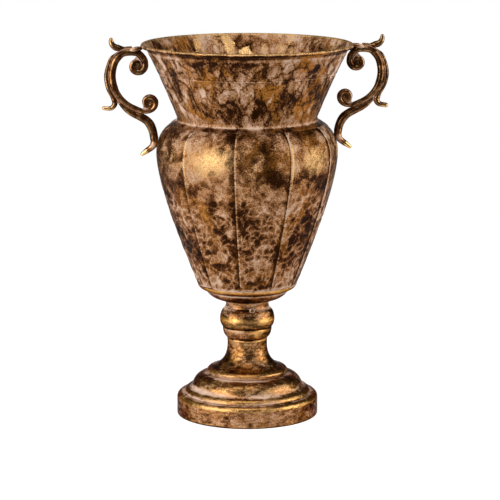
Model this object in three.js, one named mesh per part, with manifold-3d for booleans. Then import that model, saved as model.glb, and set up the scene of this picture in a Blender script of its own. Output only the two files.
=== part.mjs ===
// A two-handled urn flower pot in antiqued sheet metal, in millimetres, standing on +Z with its
// origin at the centre of its base. Spun shells stack up from the plinth to the cup on one tie rod,
// folded panels make the bowl, two joggled bands make the neck, and scrolled bars make the handles.
import * as THREE from "three";
import { mergeVertices } from "three/addons/utils/BufferGeometryUtils.js";
import Module from "manifold-3d";

const wasm = await Module();
wasm.setup();

// Walls and clearances
const sheet = 1.0; // neck bands and bowl panels
const shellWall = 1.2; // spun shells of the stem and the foot
const castWall = 2.2; // cast cup under the bowl
const seat = 0.3; // clearance where one piece bears on another

// Foot: a plinth, then a bead and a dome spun in one shell
const plinthRadius = 74.3;
const plinthHeight = 22.4;
const plinthRounding = 4.4;
const plinthFootWidth = 8; // flat turned in under the plinth
const plinthTopWidth = 14; // flat turned in at the plinth's top
const plinthLedge = 3.2; // flat left bare outside the bead
const beadHeight = 6.1;
const beadWidth = 8.2;
const domeHeight = 14.2;
const domeTopRadius = 44;
const domeTopWidth = 10.4; // flat turned in at the dome's top
const shellLip = 4; // flat turned in where shells bear on each other
const grooveRise = 1.3; // grooves between the rolled mouldings

// Stem: a trumpet, a ring, a knop and the socket that the bowl stands on
const stemFootRadius = 42.6;
const stemFootEdge = 6.4;
const stemFootRounding = 2.4;
const stemTopRadius = 21.2;
const stemHeight = 38.2;
const ringRadius = 25.9;
const ringHeight = 11.5;
const knopRadius = 28.8;
const knopTopRadius = 23.2;
const knopHeight = 20.5;
const spigotHeight = 5;
const socketRadius = 22.5;
const socketHeight = 7.3;
const socketPinRadius = 1.2;
const socketPinHead = 2.2;
const socketPinTurn = 12; // degrees from the front, towards +X

// Bowl: a cast cup and the folded panels
const cupHeight = 18.7;
const cupStepRadius = 43.5;
const cupStepHeight = 10.7;
const cupLip = 1.2;
const cupSpigotHeight = 5.5;
const bowlFootRadius = 52.4;
const bowlRadius = 94.3; // over the middles of the panels
const bowlHeight = 138; // from the panels' foot to the widest level
const shoulderHeight = 31.5;
const shoulderTopRadius = 75.5;
const panelCount = 10;
const seamStand = 1; // how far the seams stand outside the circle of the middles
const seamTurn = -8; // degrees from the front to the first seam

// Neck: a lower and an upper band, the upper one rolled over a wire
const waistRadius = 73;
const waistRise = 5.5;
const neckHeight = 74; // from the waist to the rim wire
const neckLean = 55; // degrees of the wall from level, where it meets the rim
const rimRadius = 110.2;
const rimWireRadius = 0.8;
const hemWrap = 285; // degrees of sheet rolled round the wire
const neckSeamRise = 45.4; // from the waist to the seam between the bands
const neckLap = 8;
const neckJog = 1.6;
const flangeWidth = 4.2;

// Tie rod and its fasteners
const rodRadius = 4;
const rodEnd = 5; // thread left beyond each nut
const nutWidth = 13;
const nutHeight = 6.5;
const washerRadius = 15;
const washerHeight = 2;
const basePlateThickness = 3;
const basePlateBite = 6; // how far the base plate reaches under the plinth's top flat

// Handles: places are given from the rim's outer edge, outwards and upwards
const topVoluteOut = 3.1;
const topVoluteUp = -19;
const topVoluteRadius = 6.6;
const topVoluteOpening = 13.4;
const bowOut = 12.8; // centre of the big bow
const bowUp = -29;
const bowReach = 16.4;
const bowRise = 23.8;
const bowFall = 22; // how far the bow holds its course below its outermost place
const branchPull = 16;
const branchRise = 14; // degrees of the inner branch from level, where the low volute takes over
const lowVoluteOut = -8.8;
const lowVoluteUp = -56.5;
const lowVoluteRadius = 6.2;
const lowVoluteOpening = 10.4;
const barHalf = 3.8; // half width of the scroll round its bow
const branchHalf = 2.5; // half width of its inner branch, where the leg leaves it
const leafHalf = 2.45;
const leafSpurRadius = 6.5;
const leafSpurReach = 4.5;
const topLeafHalf = 1.4;
const hornHalf = 3.1;
const hornRadius = 7.8;
const hornTip = 2.6;
const legHalf = 4.1;
const ankleHalf = 3.3;
const heelRadius = 8;
const heelBite = 0.6; // how far the heel is pressed flat against the shoulder
const heelSpur = 11.5;
const depthRatio = 1.08; // a bar's depth to its width
const studRadius = 1.6;
const rivetRadius = 2;
const rivetHead = 4.5;
const rivetBite = 4; // how far a rivet's shank reaches into the heel

// The handles were bent and set by hand, so one is a little larger and sits lower than the other.
// heelShare says how far up the shoulder's curve a heel is riveted.
const handleSets = [
  { side: "left", turn: -90, drop: 2.1, grow: 1.02, heelShare: 0.22 },
  { side: "right", turn: 90, drop: -1.5, grow: 0.97, heelShare: 0.44 },
];

// Facets
const aroundWide = 32;
const aroundSlim = 20;
const aroundSmall = 10;
const sideRows = 6;
const shoulderRows = 5;
const panelColumns = 4;
const barSides = 6;
const barSteps = 2;

// Levels, from the ground up
const domeFoot = plinthHeight + seat;
const beadTop = domeFoot + beadHeight;
const domeTop = beadTop + domeHeight;
const stemFoot = domeTop + seat;
const stemTop = stemFoot + stemHeight;
const ringFoot = stemTop + seat;
const ringTop = ringFoot + ringHeight;
const knopFoot = ringTop + seat;
const knopTop = knopFoot + knopHeight;
const socketFoot = knopTop + seat;
const socketTop = socketFoot + socketHeight;
const cupFoot = socketTop + seat;
const cupTop = cupFoot + cupHeight;
const bowlFoot = cupTop + seat;
const bowlWidest = bowlFoot + bowlHeight;
const shoulderTop = bowlWidest + shoulderHeight;
const waist = shoulderTop + waistRise;
const rimLevel = waist + neckHeight;

// Radii that follow from their neighbours
const beadRadius = plinthRadius - plinthRounding - plinthLedge;
const domeRadius = beadRadius - beadWidth;
const spigotRadius = socketRadius - shellWall - seat;
const cupSpigotRadius = bowlFootRadius - sheet - 2 * seat;
const rodHole = rodRadius + seat;
const hemInside = rimWireRadius + seat;
const wireRing = rimRadius - hemInside - sheet;
const panelPitch = 360 / panelCount;

// Points are (radius, height) in an upright plane through the axis.
const { lerp, smoothstep, degToRad, radToDeg } = THREE.MathUtils;
const at = (r, z) => new THREE.Vector2(r, z);
const polar = (centre, radius, degrees) =>
  at(centre.x + radius * Math.cos(degToRad(degrees)), centre.y + radius * Math.sin(degToRad(degrees)));
const headingOf = (from, to) => radToDeg(Math.atan2(to.y - from.y, to.x - from.x));
const shares = (from, to, steps) => Array.from({ length: steps + 1 }, (_, i) => lerp(from, to, i / steps));

const metal = (color, roughness) => new THREE.MeshStandardMaterial({ color, roughness, metalness: 1 });
const spunBronze = metal(0x8a5f3a, 0.45);
const hammeredBronze = metal(0x916a48, 0.5);
const castBronze = metal(0x6f4a2a, 0.4);
const wireSteel = metal(0x77706a, 0.5);
const rodSteel = metal(0x8d8a86, 0.4);

const pot = new THREE.Group();

function addPiece(name, geometry, material, parent = pot) {
  const mesh = new THREE.Mesh(geometry, material);
  mesh.name = name;
  parent.add(mesh);
}

function toSolid(geometry) {
  const bare = geometry.clone();
  bare.deleteAttribute("normal");
  bare.deleteAttribute("uv");
  const merged = mergeVertices(bare, 1e-3);
  const vertProperties = new Float32Array(merged.attributes.position.array);
  const triVerts = new Uint32Array(merged.index.array);
  return new wasm.Manifold(new wasm.Mesh({ numProp: 3, vertProperties, triVerts }));
}

function fromFaces(positions, index) {
  const geometry = new THREE.BufferGeometry();
  geometry.setAttribute("position", new THREE.Float32BufferAttribute(positions, 3));
  geometry.setIndex(index);
  geometry.computeVertexNormals();
  return geometry;
}

function cutAway(geometry, cutters) {
  const left = cutters.reduce((solid, cutter) => solid.subtract(toSolid(cutter)), toSolid(geometry));
  const mesh = left.getMesh();
  return fromFaces([...mesh.vertProperties], [...mesh.triVerts]);
}

// A sheet's profile is a line drawn from the top down, with the wall on its right.

const rightOf = (from, to) => at(to.y - from.y, from.x - to.x).normalize();

function thicken(line, wall) {
  const last = line.length - 1;
  const gentle = Math.cos(degToRad(30));
  const inner = line.flatMap((here, i) => {
    const into = rightOf(line[Math.max(i - 1, 0)], line[Math.max(i, 1)]);
    const out = rightOf(line[Math.min(i, last - 1)], line[Math.min(i + 1, last)]);
    // On a gentle curve the wall's other face needs only every second point.
    const needed = i === last || i % 2 === 0 || into.dot(out) < gentle;
    const mitre = into.clone().add(out).normalize();
    return needed ? [here.clone().addScaledVector(mitre, wall / mitre.dot(into))] : [];
  });
  return [...line, ...inner.reverse()];
}

function revolve(outline, segments) {
  const ordered = THREE.ShapeUtils.isClockWise(outline) ? [...outline].reverse() : outline;
  return new THREE.LatheGeometry([...ordered, ordered[0]], segments).rotateX(Math.PI / 2);
}

const spun = (line, segments) => revolve(thicken(line, shellWall), segments);

const easyBend = (from, pull, to, steps) => new THREE.QuadraticBezierCurve(from, pull, to).getPoints(steps);

const longBend = (from, pullFrom, pullTo, to, steps) =>
  new THREE.CubicBezierCurve(from, pullFrom, pullTo, to).getPoints(steps);

// A place at a share of a curve's run, set off to its right
function beside(curve, share, distance) {
  const along = curve.getTangent(share);
  return curve.getPoint(share).add(at(along.y, -along.x).multiplyScalar(distance));
}

function shareAtHeight(curve, height) {
  let low = 0;
  let high = 1;
  while (high - low > 1e-6) {
    const middle = (low + high) / 2;
    if (curve.getPoint(middle).y < height) low = middle;
    else high = middle;
  }
  return low;
}

// Meridians, drawn upwards: the bowl's side, its shoulder and the neck's outer face

const bowlSpread = bowlRadius - bowlFootRadius;
const bowlSide = new THREE.CubicBezierCurve(
  at(bowlFootRadius, bowlFoot),
  at(bowlFootRadius + 0.62 * bowlSpread, bowlFoot + 0.47 * bowlHeight),
  at(bowlRadius, bowlFoot + 0.82 * bowlHeight),
  at(bowlRadius, bowlWidest),
);
const shoulder = new THREE.CubicBezierCurve(
  at(bowlRadius, bowlWidest),
  at(bowlRadius, bowlWidest + 0.42 * shoulderHeight),
  at(lerp(shoulderTopRadius, bowlRadius, 0.72), bowlWidest + 0.82 * shoulderHeight),
  at(shoulderTopRadius, shoulderTop),
);
const hemStart = polar(at(wireRing, rimLevel), hemInside, 90 + neckLean);
const neckSide = new THREE.CubicBezierCurve(
  at(waistRadius, waist),
  at(lerp(waistRadius, hemStart.x, 0.21), waist + 0.27 * neckHeight),
  polar(hemStart, 0.19 * neckHeight, 180 + neckLean),
  hemStart,
);

// Foot

function plinth() {
  const topEdge = plinthRadius - plinthRounding;
  const corner = at(topEdge, plinthHeight - plinthRounding);
  const line = [
    at(topEdge - plinthTopWidth, plinthHeight),
    ...shares(90, 0, 3).map((degrees) => polar(corner, plinthRounding, degrees)),
    at(plinthRadius, 0),
    at(plinthRadius - plinthFootWidth, 0),
  ];
  return spun(line, aroundWide);
}

function footDome() {
  const spread = domeRadius - domeTopRadius;
  const line = [
    at(domeTopRadius - domeTopWidth, domeTop),
    ...longBend(
      at(domeTopRadius, domeTop),
      at(domeTopRadius + 0.42 * spread, domeTop - 0.03 * domeHeight),
      at(domeRadius - 0.14 * spread, domeTop - 0.22 * domeHeight),
      at(domeRadius, beadTop + grooveRise),
      5,
    ),
    ...easyBend(
      at(domeRadius + grooveRise, beadTop),
      at(beadRadius - 0.09 * beadWidth, beadTop - 0.1 * beadHeight),
      at(beadRadius, domeFoot),
      3,
    ),
    at(beadRadius - shellLip, domeFoot),
  ];
  return spun(line, aroundWide);
}

// Stem

function trumpet() {
  const flareRadius = stemFootRadius - stemFootRounding;
  const flareLevel = stemFoot + stemFootEdge;
  const flare = flareRadius - stemTopRadius;
  const fall = stemTop - flareLevel;
  const line = [
    at(stemTopRadius - shellLip, stemTop),
    ...longBend(
      at(stemTopRadius, stemTop),
      at(stemTopRadius - 0.08 * flare, stemTop - 0.4 * fall),
      at(stemTopRadius + 0.06 * flare, stemTop - 0.88 * fall),
      at(flareRadius, flareLevel),
      6,
    ),
    at(stemFootRadius, flareLevel - stemFootRounding),
    at(stemFootRadius - grooveRise, stemFoot),
    at(stemFootRadius - shellLip, stemFoot),
  ];
  return spun(line, aroundSlim);
}

function stemRing() {
  const top = at(ringRadius, ringTop);
  const foot = at(stemTopRadius + seat, ringFoot);
  const line = [
    at(ringRadius - shellLip, ringTop),
    ...easyBend(top, at(ringRadius, ringFoot + 0.3 * ringHeight), foot, 4),
    at(stemTopRadius - shellLip, ringFoot),
  ];
  return spun(line, aroundSlim);
}

function knop() {
  const top = at(knopTopRadius, knopTop);
  const widest = at(knopRadius, knopFoot + 0.39 * knopHeight);
  const foot = at(ringRadius, knopFoot);
  const line = [
    at(spigotRadius, knopTop + spigotHeight),
    at(spigotRadius, knopTop),
    ...easyBend(top, at(knopRadius, knopTop - 0.16 * knopHeight), widest, 4),
    ...easyBend(widest, at(knopRadius, knopFoot + 0.14 * knopHeight), foot, 3).slice(1),
    at(ringRadius - shellLip, knopFoot),
  ];
  return spun(line, aroundSlim);
}

function socket() {
  const top = at(socketRadius, socketTop);
  return spun([at(socketRadius - shellLip, socketTop), top, at(socketRadius, socketFoot)], aroundSlim);
}

// A pin that keys the socket to the knop, lying radially in a notch cut half from each
function socketPin(clearance) {
  const radius = socketPinRadius + clearance;
  const head = socketPinHead + clearance;
  const inner = spigotRadius + seat - clearance;
  const face = knopTopRadius + seat;
  const line = [
    at(0, inner),
    at(radius, inner),
    at(radius, face),
    ...shares(0, 90, 4).map((degrees) => polar(at(0, face), head, degrees)),
  ];
  const pin = new THREE.LatheGeometry(line, aroundSmall);
  return pin.rotateZ(Math.PI + degToRad(socketPinTurn)).translate(0, 0, socketFoot);
}

// Bowl

function cup() {
  const lip = at(bowlFootRadius, cupTop - cupLip);
  const step = at(cupStepRadius, cupFoot + cupStepHeight);
  const bandFoot = at(step.x + cupLip, step.y + cupLip);
  const flatEdge = at(socketRadius + castWall, cupFoot);
  const line = [
    at(bowlFootRadius, cupTop),
    ...easyBend(lip, at(lerp(bandFoot.x, lip.x, 0.77), lerp(bandFoot.y, lip.y, 0.2)), bandFoot, 3),
    ...easyBend(step, at(lerp(flatEdge.x, step.x, 0.76), lerp(cupFoot, step.y, 0.23)), flatEdge, 3),
    at(rodHole, cupFoot),
  ];
  const inside = thicken(line, castWall).slice(line.length).filter((point) => point.y < lip.y);
  const spigotTop = cupTop + cupSpigotHeight;
  const spigotInside = cupSpigotRadius - castWall;
  const spigot = [
    at(spigotInside, cupTop),
    at(spigotInside, spigotTop),
    at(cupSpigotRadius, spigotTop),
    at(cupSpigotRadius, cupTop),
  ];
  return revolve([...line, ...inside, ...spigot], aroundWide);
}

// How far a panel's face stands outside the circle of its middle, being flatter than the circle:
// rise runs from its foot to its top, and offMiddle from its middle to its seams.
const standing = (rise, offMiddle) =>
  seamStand * Math.sqrt(Math.sin(Math.PI * rise)) * offMiddle ** 2;

// A panel runs up the bowl's side and over its shoulder, and is flatter than round between its seams.
// Its outer face lies outset from the meridians and its inner face inset below them.
function panel(number, outset, inset) {
  const rows = [
    ...shares(0, 1, sideRows).map((share) => ({ curve: bowlSide, share })),
    ...shares(0, 1, shoulderRows).slice(1).map((share) => ({ curve: shoulder, share })),
  ];
  const middle = seamTurn + (number + 0.5) * panelPitch;
  const face = (offset) =>
    rows.flatMap(({ curve, share }, row) => {
      const here = beside(curve, share, offset);
      const reach = panelPitch / 2 - radToDeg(seat / 2 / here.x);
      return shares(-reach, reach, panelColumns).flatMap((turn) => {
        const radius = here.x + standing(row / (rows.length - 1), turn / (panelPitch / 2));
        const azimuth = degToRad(middle + turn);
        return [radius * Math.sin(azimuth), -radius * Math.cos(azimuth), here.y];
      });
    });
  return slab(face(outset), face(-inset), rows.length, panelColumns + 1);
}

// A closed slab between two grids of points, the first of them its outer face
function slab(outer, inner, rows, columns) {
  const index = [];
  const quad = (a, b, c, d) => index.push(a, b, c, a, c, d);
  const under = rows * columns;
  for (let row = 0; row + 1 < rows; row++) {
    for (let column = 0; column + 1 < columns; column++) {
      const a = row * columns + column;
      quad(a, a + 1, a + columns + 1, a + columns);
      quad(under + a, under + a + columns, under + a + columns + 1, under + a + 1);
    }
  }
  const edge = [];
  for (let column = 0; column + 1 < columns; column++) edge.push(column);
  for (let row = 0; row + 1 < rows; row++) edge.push(row * columns + columns - 1);
  for (let column = columns - 1; column > 0; column--) edge.push((rows - 1) * columns + column);
  for (let row = rows - 1; row > 0; row--) edge.push(row * columns);
  edge.forEach((a, i) => {
    const b = edge[(i + 1) % edge.length];
    quad(a, under + a, under + b, b);
  });
  return fromFaces([...outer, ...inner], index);
}

// Neck

function neckLower() {
  const seam = waist + neckSeamRise;
  const jogStart = shareAtHeight(neckSide, seam - neckJog);
  const jogEnd = shareAtHeight(neckSide, seam);
  const lapEnd = shareAtHeight(neckSide, seam + neckLap);
  const tongue = [lapEnd, jogEnd].map((share) => beside(neckSide, share, -(sheet + seat)));
  const wall = shares(jogStart, 0, 3).map((share) => neckSide.getPoint(share));
  const flangeStart = 1 - flangeWidth / shoulder.getLength();
  const flange = shares(1, flangeStart, 2).map((share) => beside(shoulder, share, seat + sheet));
  const fillet = easyBend(at(waistRadius, waist), at(waistRadius, flange[0].y + sheet), flange[0], 2);
  return revolve(thicken([...tongue, ...wall, fillet[1], ...flange], sheet), aroundWide);
}

function neckUpper() {
  const seam = shareAtHeight(neckSide, waist + neckSeamRise + seat);
  const wire = at(wireRing, rimLevel);
  const rollEnd = 90 + neckLean;
  const roll = shares(rollEnd - hemWrap, rollEnd, 6).map((degrees) => polar(wire, hemInside, degrees));
  const wall = shares(1, seam, 3).slice(1).map((share) => neckSide.getPoint(share));
  return revolve(thicken([...roll, ...wall], sheet), aroundWide);
}

function rimWire() {
  const wire = new THREE.TorusGeometry(wireRing, rimWireRadius, 5, aroundWide);
  return wire.translate(0, 0, rimLevel);
}

// Fasteners on the tie rod

const washerFoot = cupFoot + castWall + seat;
const bowlNutFoot = washerFoot + washerHeight + seat;
const plateTop = plinthHeight - shellWall - seat;
const plateFoot = plateTop - basePlateThickness;
const baseNutFoot = plateFoot - seat - nutHeight;
const plateRadius = plinthRadius - plinthRounding - plinthTopWidth + basePlateBite;

function disc(radius, low, high, segments) {
  return revolve([at(rodHole, low), at(radius, low), at(radius, high), at(rodHole, high)], segments);
}

function nut(low) {
  const corner = nutWidth / 2 / Math.cos(Math.PI / 6);
  const corners = shares(0, 360, 6).slice(1).map((degrees) => polar(at(0, 0), corner, degrees));
  const shape = new THREE.Shape(corners);
  shape.holes.push(new THREE.Path().absarc(0, 0, rodHole, 0, 2 * Math.PI));
  const options = { depth: nutHeight, bevelEnabled: false, curveSegments: 8 };
  return new THREE.ExtrudeGeometry(shape, options).translate(0, 0, low);
}

function tieRod() {
  const low = baseNutFoot - rodEnd;
  const high = bowlNutFoot + nutHeight + rodEnd;
  const rod = new THREE.CylinderGeometry(rodRadius, rodRadius, high - low, aroundSmall);
  return rod.rotateX(Math.PI / 2).translate(0, 0, (low + high) / 2);
}

// Handles: a bar runs through knots in the upright plane, each with its half width

class Bar {
  constructor(knots) {
    this.knots = knots;
    this.line = new THREE.SplineCurve(knots.map((knot) => knot.point));
  }

  half(share) {
    const place = share * (this.knots.length - 1);
    const from = Math.min(Math.floor(place), this.knots.length - 2);
    return lerp(this.knots[from].half, this.knots[from + 1].half, place - from);
  }

  // A knot for another bar that lies along this one's outer side, counted in this one's knots
  alongside(knot, half) {
    const share = knot / (this.knots.length - 1);
    return { point: beside(this.line, share, -(this.half(share) + seat + half)), half };
  }

  solid() {
    const stations = shares(0, 1, barSteps * (this.knots.length - 1));
    const positions = stations.flatMap((share) => {
      const half = this.half(share);
      return shares(0, 2 * Math.PI, barSides).slice(1).flatMap((turn) => {
        const side = beside(this.line, share, -half * Math.cos(turn));
        return [side.x, half * depthRatio * Math.sin(turn), side.y];
      });
    });
    return fromFaces(positions, barFaces(stations.length));
  }
}

function barFaces(rows) {
  const index = [];
  for (let row = 0; row + 1 < rows; row++) {
    for (let side = 0; side < barSides; side++) {
      const a = row * barSides + side;
      const b = row * barSides + (side + 1) % barSides;
      index.push(a, b + barSides, b, a, a + barSides, b + barSides);
    }
  }
  const last = (rows - 1) * barSides;
  for (let side = 1; side + 1 < barSides; side++) {
    index.push(0, side, side + 1, last, last + side + 1, last + side);
  }
  return index;
}

// Continues a bar from a point along an arc that turns by so many degrees
function arcOn(from, heading, radius, turn, steps) {
  const side = Math.sign(turn) * 90;
  const centre = polar(from, radius, heading + side);
  return shares(0, turn, steps).slice(1).map((turned) => polar(centre, radius, heading + turned - side));
}

// The scroll: a top volute, a bow that thins where the leg leaves it, and a low volute.
// Volutes wind out of their eye, hold their radius, and open fast at their outer end.

const bowDegrees = [80, 55, 30, 0];
const bowFallShares = [0.2, 0.4, 0.6, 0.8];
const topVoluteSteps = 10;
const lowVoluteSteps = 10;
const bowKnot = topVoluteSteps + 1;

const voluteSpread = (middle, outer, share) =>
  middle * (1 - 0.55 * (1 - share) ** 4) + (outer - middle) * share ** 8;

function scrollKnots(origin, grow) {
  const topEye = at(topVoluteOut, topVoluteUp);
  const bowCentre = at(bowOut, bowUp);
  const lowEye = at(lowVoluteOut, lowVoluteUp);
  const topVolute = shares(0, 1, topVoluteSteps).map((share) => ({
    point: polar(topEye, voluteSpread(topVoluteRadius, topVoluteOpening, share), lerp(470, 86, share)),
    half: barHalf * lerp(0.6, 0.97, share),
  }));
  const bow = bowDegrees.map((degrees) => {
    const out = bowReach * Math.cos(degToRad(degrees));
    const up = bowRise * Math.sin(degToRad(degrees));
    return { point: at(bowCentre.x + out, bowCentre.y + up), half: barHalf };
  });
  const lowVolute = shares(1, 0, lowVoluteSteps).map((share) => ({
    point: polar(lowEye, voluteSpread(lowVoluteRadius, lowVoluteOpening, share), lerp(-130, 300, share)),
    half: branchHalf * lerp(0.78, 1, share),
  }));
  const bowSide = bow[bow.length - 1].point;
  const branchEnd = lowVolute[0].point;
  const fall = new THREE.CubicBezierCurve(
    bowSide,
    at(bowSide.x, bowSide.y - bowFall),
    polar(branchEnd, branchPull, branchRise),
    branchEnd,
  );
  const branch = bowFallShares.map((share) => ({
    point: fall.getPoint(share),
    half: lerp(barHalf, branchHalf, smoothstep(share, 0.15, 0.6)),
  }));
  return [...topVolute, ...bow, ...branch, ...lowVolute].map(({ point, half }) => ({
    point: point.multiplyScalar(grow).add(origin),
    half: half * grow,
  }));
}

// The top leaf lies on the scroll and ends in an upturned horn.
function topLeafKnots(scroll) {
  const flat = [-0.5, -0.25, 0].map((knot) => scroll.alongside(bowKnot + knot, topLeafHalf));
  const root = scroll.alongside(bowKnot + 0.42, hornHalf);
  const horn = arcOn(root.point, 0, hornRadius, 78, 3).map((point, i) => ({
    point,
    half: hornHalf * (1 - 0.11 * i),
  }));
  const tip = { point: polar(horn[2].point, hornTip, 88), half: hornHalf * 0.55 };
  return [...flat, root, ...horn, tip];
}

// The outer leaf swells along the bow and curls out into a spur.
function outerLeafKnots(scroll) {
  const swell = [[1.1, 0.4], [1.8, 0.75], [3, 1], [3.9, 1], [4.6, 1.05]];
  const laid = swell.map(([knot, share]) => scroll.alongside(bowKnot + knot, leafHalf * share));
  const [before, end] = laid.slice(-2).map((knot) => knot.point);
  const heading = headingOf(before, end);
  const tipHeading = 5;
  const root = polar(end, leafSpurReach, heading);
  const curl = arcOn(root, heading, leafSpurRadius, tipHeading - heading, 4);
  const tip = polar(curl[3], leafSpurReach, tipHeading);
  const spur = [root, ...curl, tip].map((point, i) => ({ point, half: leafHalf * (1.12 - 0.08 * i) }));
  return [...laid, ...spur];
}

// The leg leaves the bow's outer side, falls to its heel on the shoulder and ends in a spur.
function legKnots(scroll, heel) {
  const swell = [[5.4, 0.3], [5.7, 0.42], [6.1, 0.55], [6.6, 0.68], [7.2, 0.78], [7.7, 0.86]];
  const laid = swell.map(([knot, share]) => scroll.alongside(bowKnot + knot, legHalf * share));
  const [before, start] = laid.slice(-2).map((knot) => knot.point);
  const drop = start.distanceTo(heel);
  const fall = new THREE.CubicBezierCurve(
    start,
    polar(start, 0.34 * drop, headingOf(before, start)),
    polar(heel, 0.48 * drop, 88),
    heel,
  );
  const falling = [0.3, 0.55, 0.8, 1].map((share) => ({
    point: fall.getPoint(share),
    half: lerp(legHalf, ankleHalf, share ** 2),
  }));
  const spurHeading = -36;
  const turn = arcOn(heel, -90, heelRadius, 90 + spurHeading, 2).map((point, i) => ({
    point,
    half: ankleHalf * (0.96 - 0.06 * i),
  }));
  const spur = [0.5, 1].map((share, i) => ({
    point: polar(turn[1].point, heelSpur * share, spurHeading),
    half: ankleHalf * (0.88 - 0.32 * i),
  }));
  return [...laid, ...falling, ...turn, ...spur];
}

// A domed rivet along +X: its head's face at the origin, its shank pointing outwards
function rivet(clearance) {
  const length = seat + sheet + seat + rivetBite + clearance;
  const shank = rivetRadius + clearance;
  const head = rivetHead + clearance;
  const dome = easyBend(at(0, -rivetRadius - clearance), at(head, -rivetRadius), at(head, 0), 3);
  const line = [...dome, at(shank, 0), at(shank, length), at(0, length)];
  return new THREE.LatheGeometry(line, aroundSmall).rotateZ(-Math.PI / 2);
}

const rivetHoles = new Map();

function addHandle({ side, turn, drop, grow, heelShare }) {
  const handle = new THREE.Group();
  const facing = degToRad(turn - 90);
  handle.rotation.z = facing;
  pot.add(handle);

  const scroll = new Bar(scrollKnots(at(rimRadius, rimLevel - drop), grow));
  const topLeaf = new Bar(topLeafKnots(scroll));
  const outerLeaf = new Bar(outerLeafKnots(scroll));

  // The heel stands on its panel beside the middle, where the wall is a little further out.
  const fromSeam = THREE.MathUtils.euclideanModulo(turn - seamTurn, 360);
  const number = Math.floor(fromSeam / panelPitch);
  const offMiddle = 2 * (fromSeam / panelPitch - number) - 1;
  const rise = (sideRows + shoulderRows * heelShare) / (sideRows + shoulderRows);
  const wall = shoulder.getPoint(heelShare).add(at(standing(rise, offMiddle), 0));
  const heel = at(wall.x + seat + ankleHalf - heelBite, wall.y + heelRadius / 4);
  const leg = new Bar(legKnots(scroll, heel));

  const along = shoulder.getTangent(heelShare);
  const slope = Math.atan2(-along.x, along.y);
  const rivetFace = polar(wall, -(sheet + seat), radToDeg(slope));
  const inWall = (geometry) => geometry.rotateY(-slope).translate(rivetFace.x, 0, rivetFace.y);
  const wallCutter = panel(number, seat, sheet + ankleHalf).rotateZ(-facing);
  rivetHoles.set(number, inWall(rivet(seat)).rotateZ(facing));

  const studStart = rimRadius + seat;
  const studEnd = topLeaf.knots[0].point.x - seat;
  const studLevel = scroll.alongside(bowKnot - 0.5, studRadius).point.y;
  const stud = new THREE.CylinderGeometry(studRadius, studRadius, studEnd - studStart, aroundSmall);
  stud.rotateZ(Math.PI / 2).translate((studStart + studEnd) / 2, 0, studLevel);

  addPiece(`${side}_handle_scroll`, scroll.solid(), castBronze, handle);
  addPiece(`${side}_handle_top_leaf`, topLeaf.solid(), castBronze, handle);
  addPiece(`${side}_handle_outer_leaf`, outerLeaf.solid(), castBronze, handle);
  addPiece(`${side}_handle_leg`, cutAway(leg.solid(), [wallCutter, inWall(rivet(seat))]), castBronze, handle);
  addPiece(`${side}_rim_stud`, stud, castBronze, handle);
  addPiece(`${side}_shoulder_rivet`, inWall(rivet(0)), castBronze, handle);
}

// The pot, from the rim down

addPiece("rim_wire", rimWire(), wireSteel);
addPiece("neck_upper_band", neckUpper(), hammeredBronze);
addPiece("neck_lower_band", neckLower(), hammeredBronze);
handleSets.forEach(addHandle);
for (let number = 0; number < panelCount; number++) {
  const whole = panel(number, 0, sheet);
  const hole = rivetHoles.get(number);
  const name = `bowl_panel_${String(number + 1).padStart(2, "0")}`;
  addPiece(name, hole ? cutAway(whole, [hole]) : whole, hammeredBronze);
}
addPiece("bowl_cup", cup(), spunBronze);
addPiece("stem_socket", cutAway(socket(), [socketPin(seat)]), spunBronze);
addPiece("socket_pin", socketPin(0), castBronze);
addPiece("stem_knop", cutAway(knop(), [socketPin(seat)]), spunBronze);
addPiece("stem_ring", stemRing(), spunBronze);
addPiece("stem_trumpet", trumpet(), spunBronze);
addPiece("foot_dome", footDome(), spunBronze);
addPiece("base_plinth", plinth(), spunBronze);
addPiece("tie_rod", tieRod(), rodSteel);
addPiece("bowl_washer", disc(washerRadius, washerFoot, washerFoot + washerHeight, aroundSmall), rodSteel);
addPiece("bowl_nut", nut(bowlNutFoot), rodSteel);
addPiece("base_plate", disc(plateRadius, plateFoot, plateTop, aroundSlim), rodSteel);
addPiece("base_nut", nut(baseNutFoot), rodSteel);

export default pot;
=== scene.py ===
"""A two-handled urn flower pot in antiqued metal, dressed for a plain studio photograph.

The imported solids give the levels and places. Each visible piece is made again here with its hammer marks,
seams and rolled edges, and its patina of brown, rubbed gold and pale wash comes from shared node groups.
"""
import math

import bmesh
import bpy
import numpy as np
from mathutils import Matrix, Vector
from mathutils.kdtree import KDTree


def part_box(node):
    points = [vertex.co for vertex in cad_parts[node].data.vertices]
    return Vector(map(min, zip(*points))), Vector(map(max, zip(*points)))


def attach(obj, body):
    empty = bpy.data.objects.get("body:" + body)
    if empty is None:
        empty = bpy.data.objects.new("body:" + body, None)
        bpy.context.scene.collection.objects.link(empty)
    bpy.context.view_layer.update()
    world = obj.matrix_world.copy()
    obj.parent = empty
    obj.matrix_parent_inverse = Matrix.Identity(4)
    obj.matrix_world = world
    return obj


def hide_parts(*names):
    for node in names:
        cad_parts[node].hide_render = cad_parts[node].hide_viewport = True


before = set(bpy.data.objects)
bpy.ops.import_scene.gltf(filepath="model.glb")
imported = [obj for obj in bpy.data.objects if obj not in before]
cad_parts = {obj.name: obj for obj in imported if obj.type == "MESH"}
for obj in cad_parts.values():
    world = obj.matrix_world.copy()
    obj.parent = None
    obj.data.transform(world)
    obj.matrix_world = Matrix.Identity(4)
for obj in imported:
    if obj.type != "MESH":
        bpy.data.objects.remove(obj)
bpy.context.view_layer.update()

# Lengths are in millimetres until a mesh is made.
MILLIMETRE = 0.001

# Faces that meet at more than this many degrees keep a sharp edge.
SHARP_ANGLE = 50.0

# Walls and clearances
SHEET = 1.0
SHELL_WALL = 1.2
CAST_WALL = 2.2
SEAT = 0.3

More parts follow.
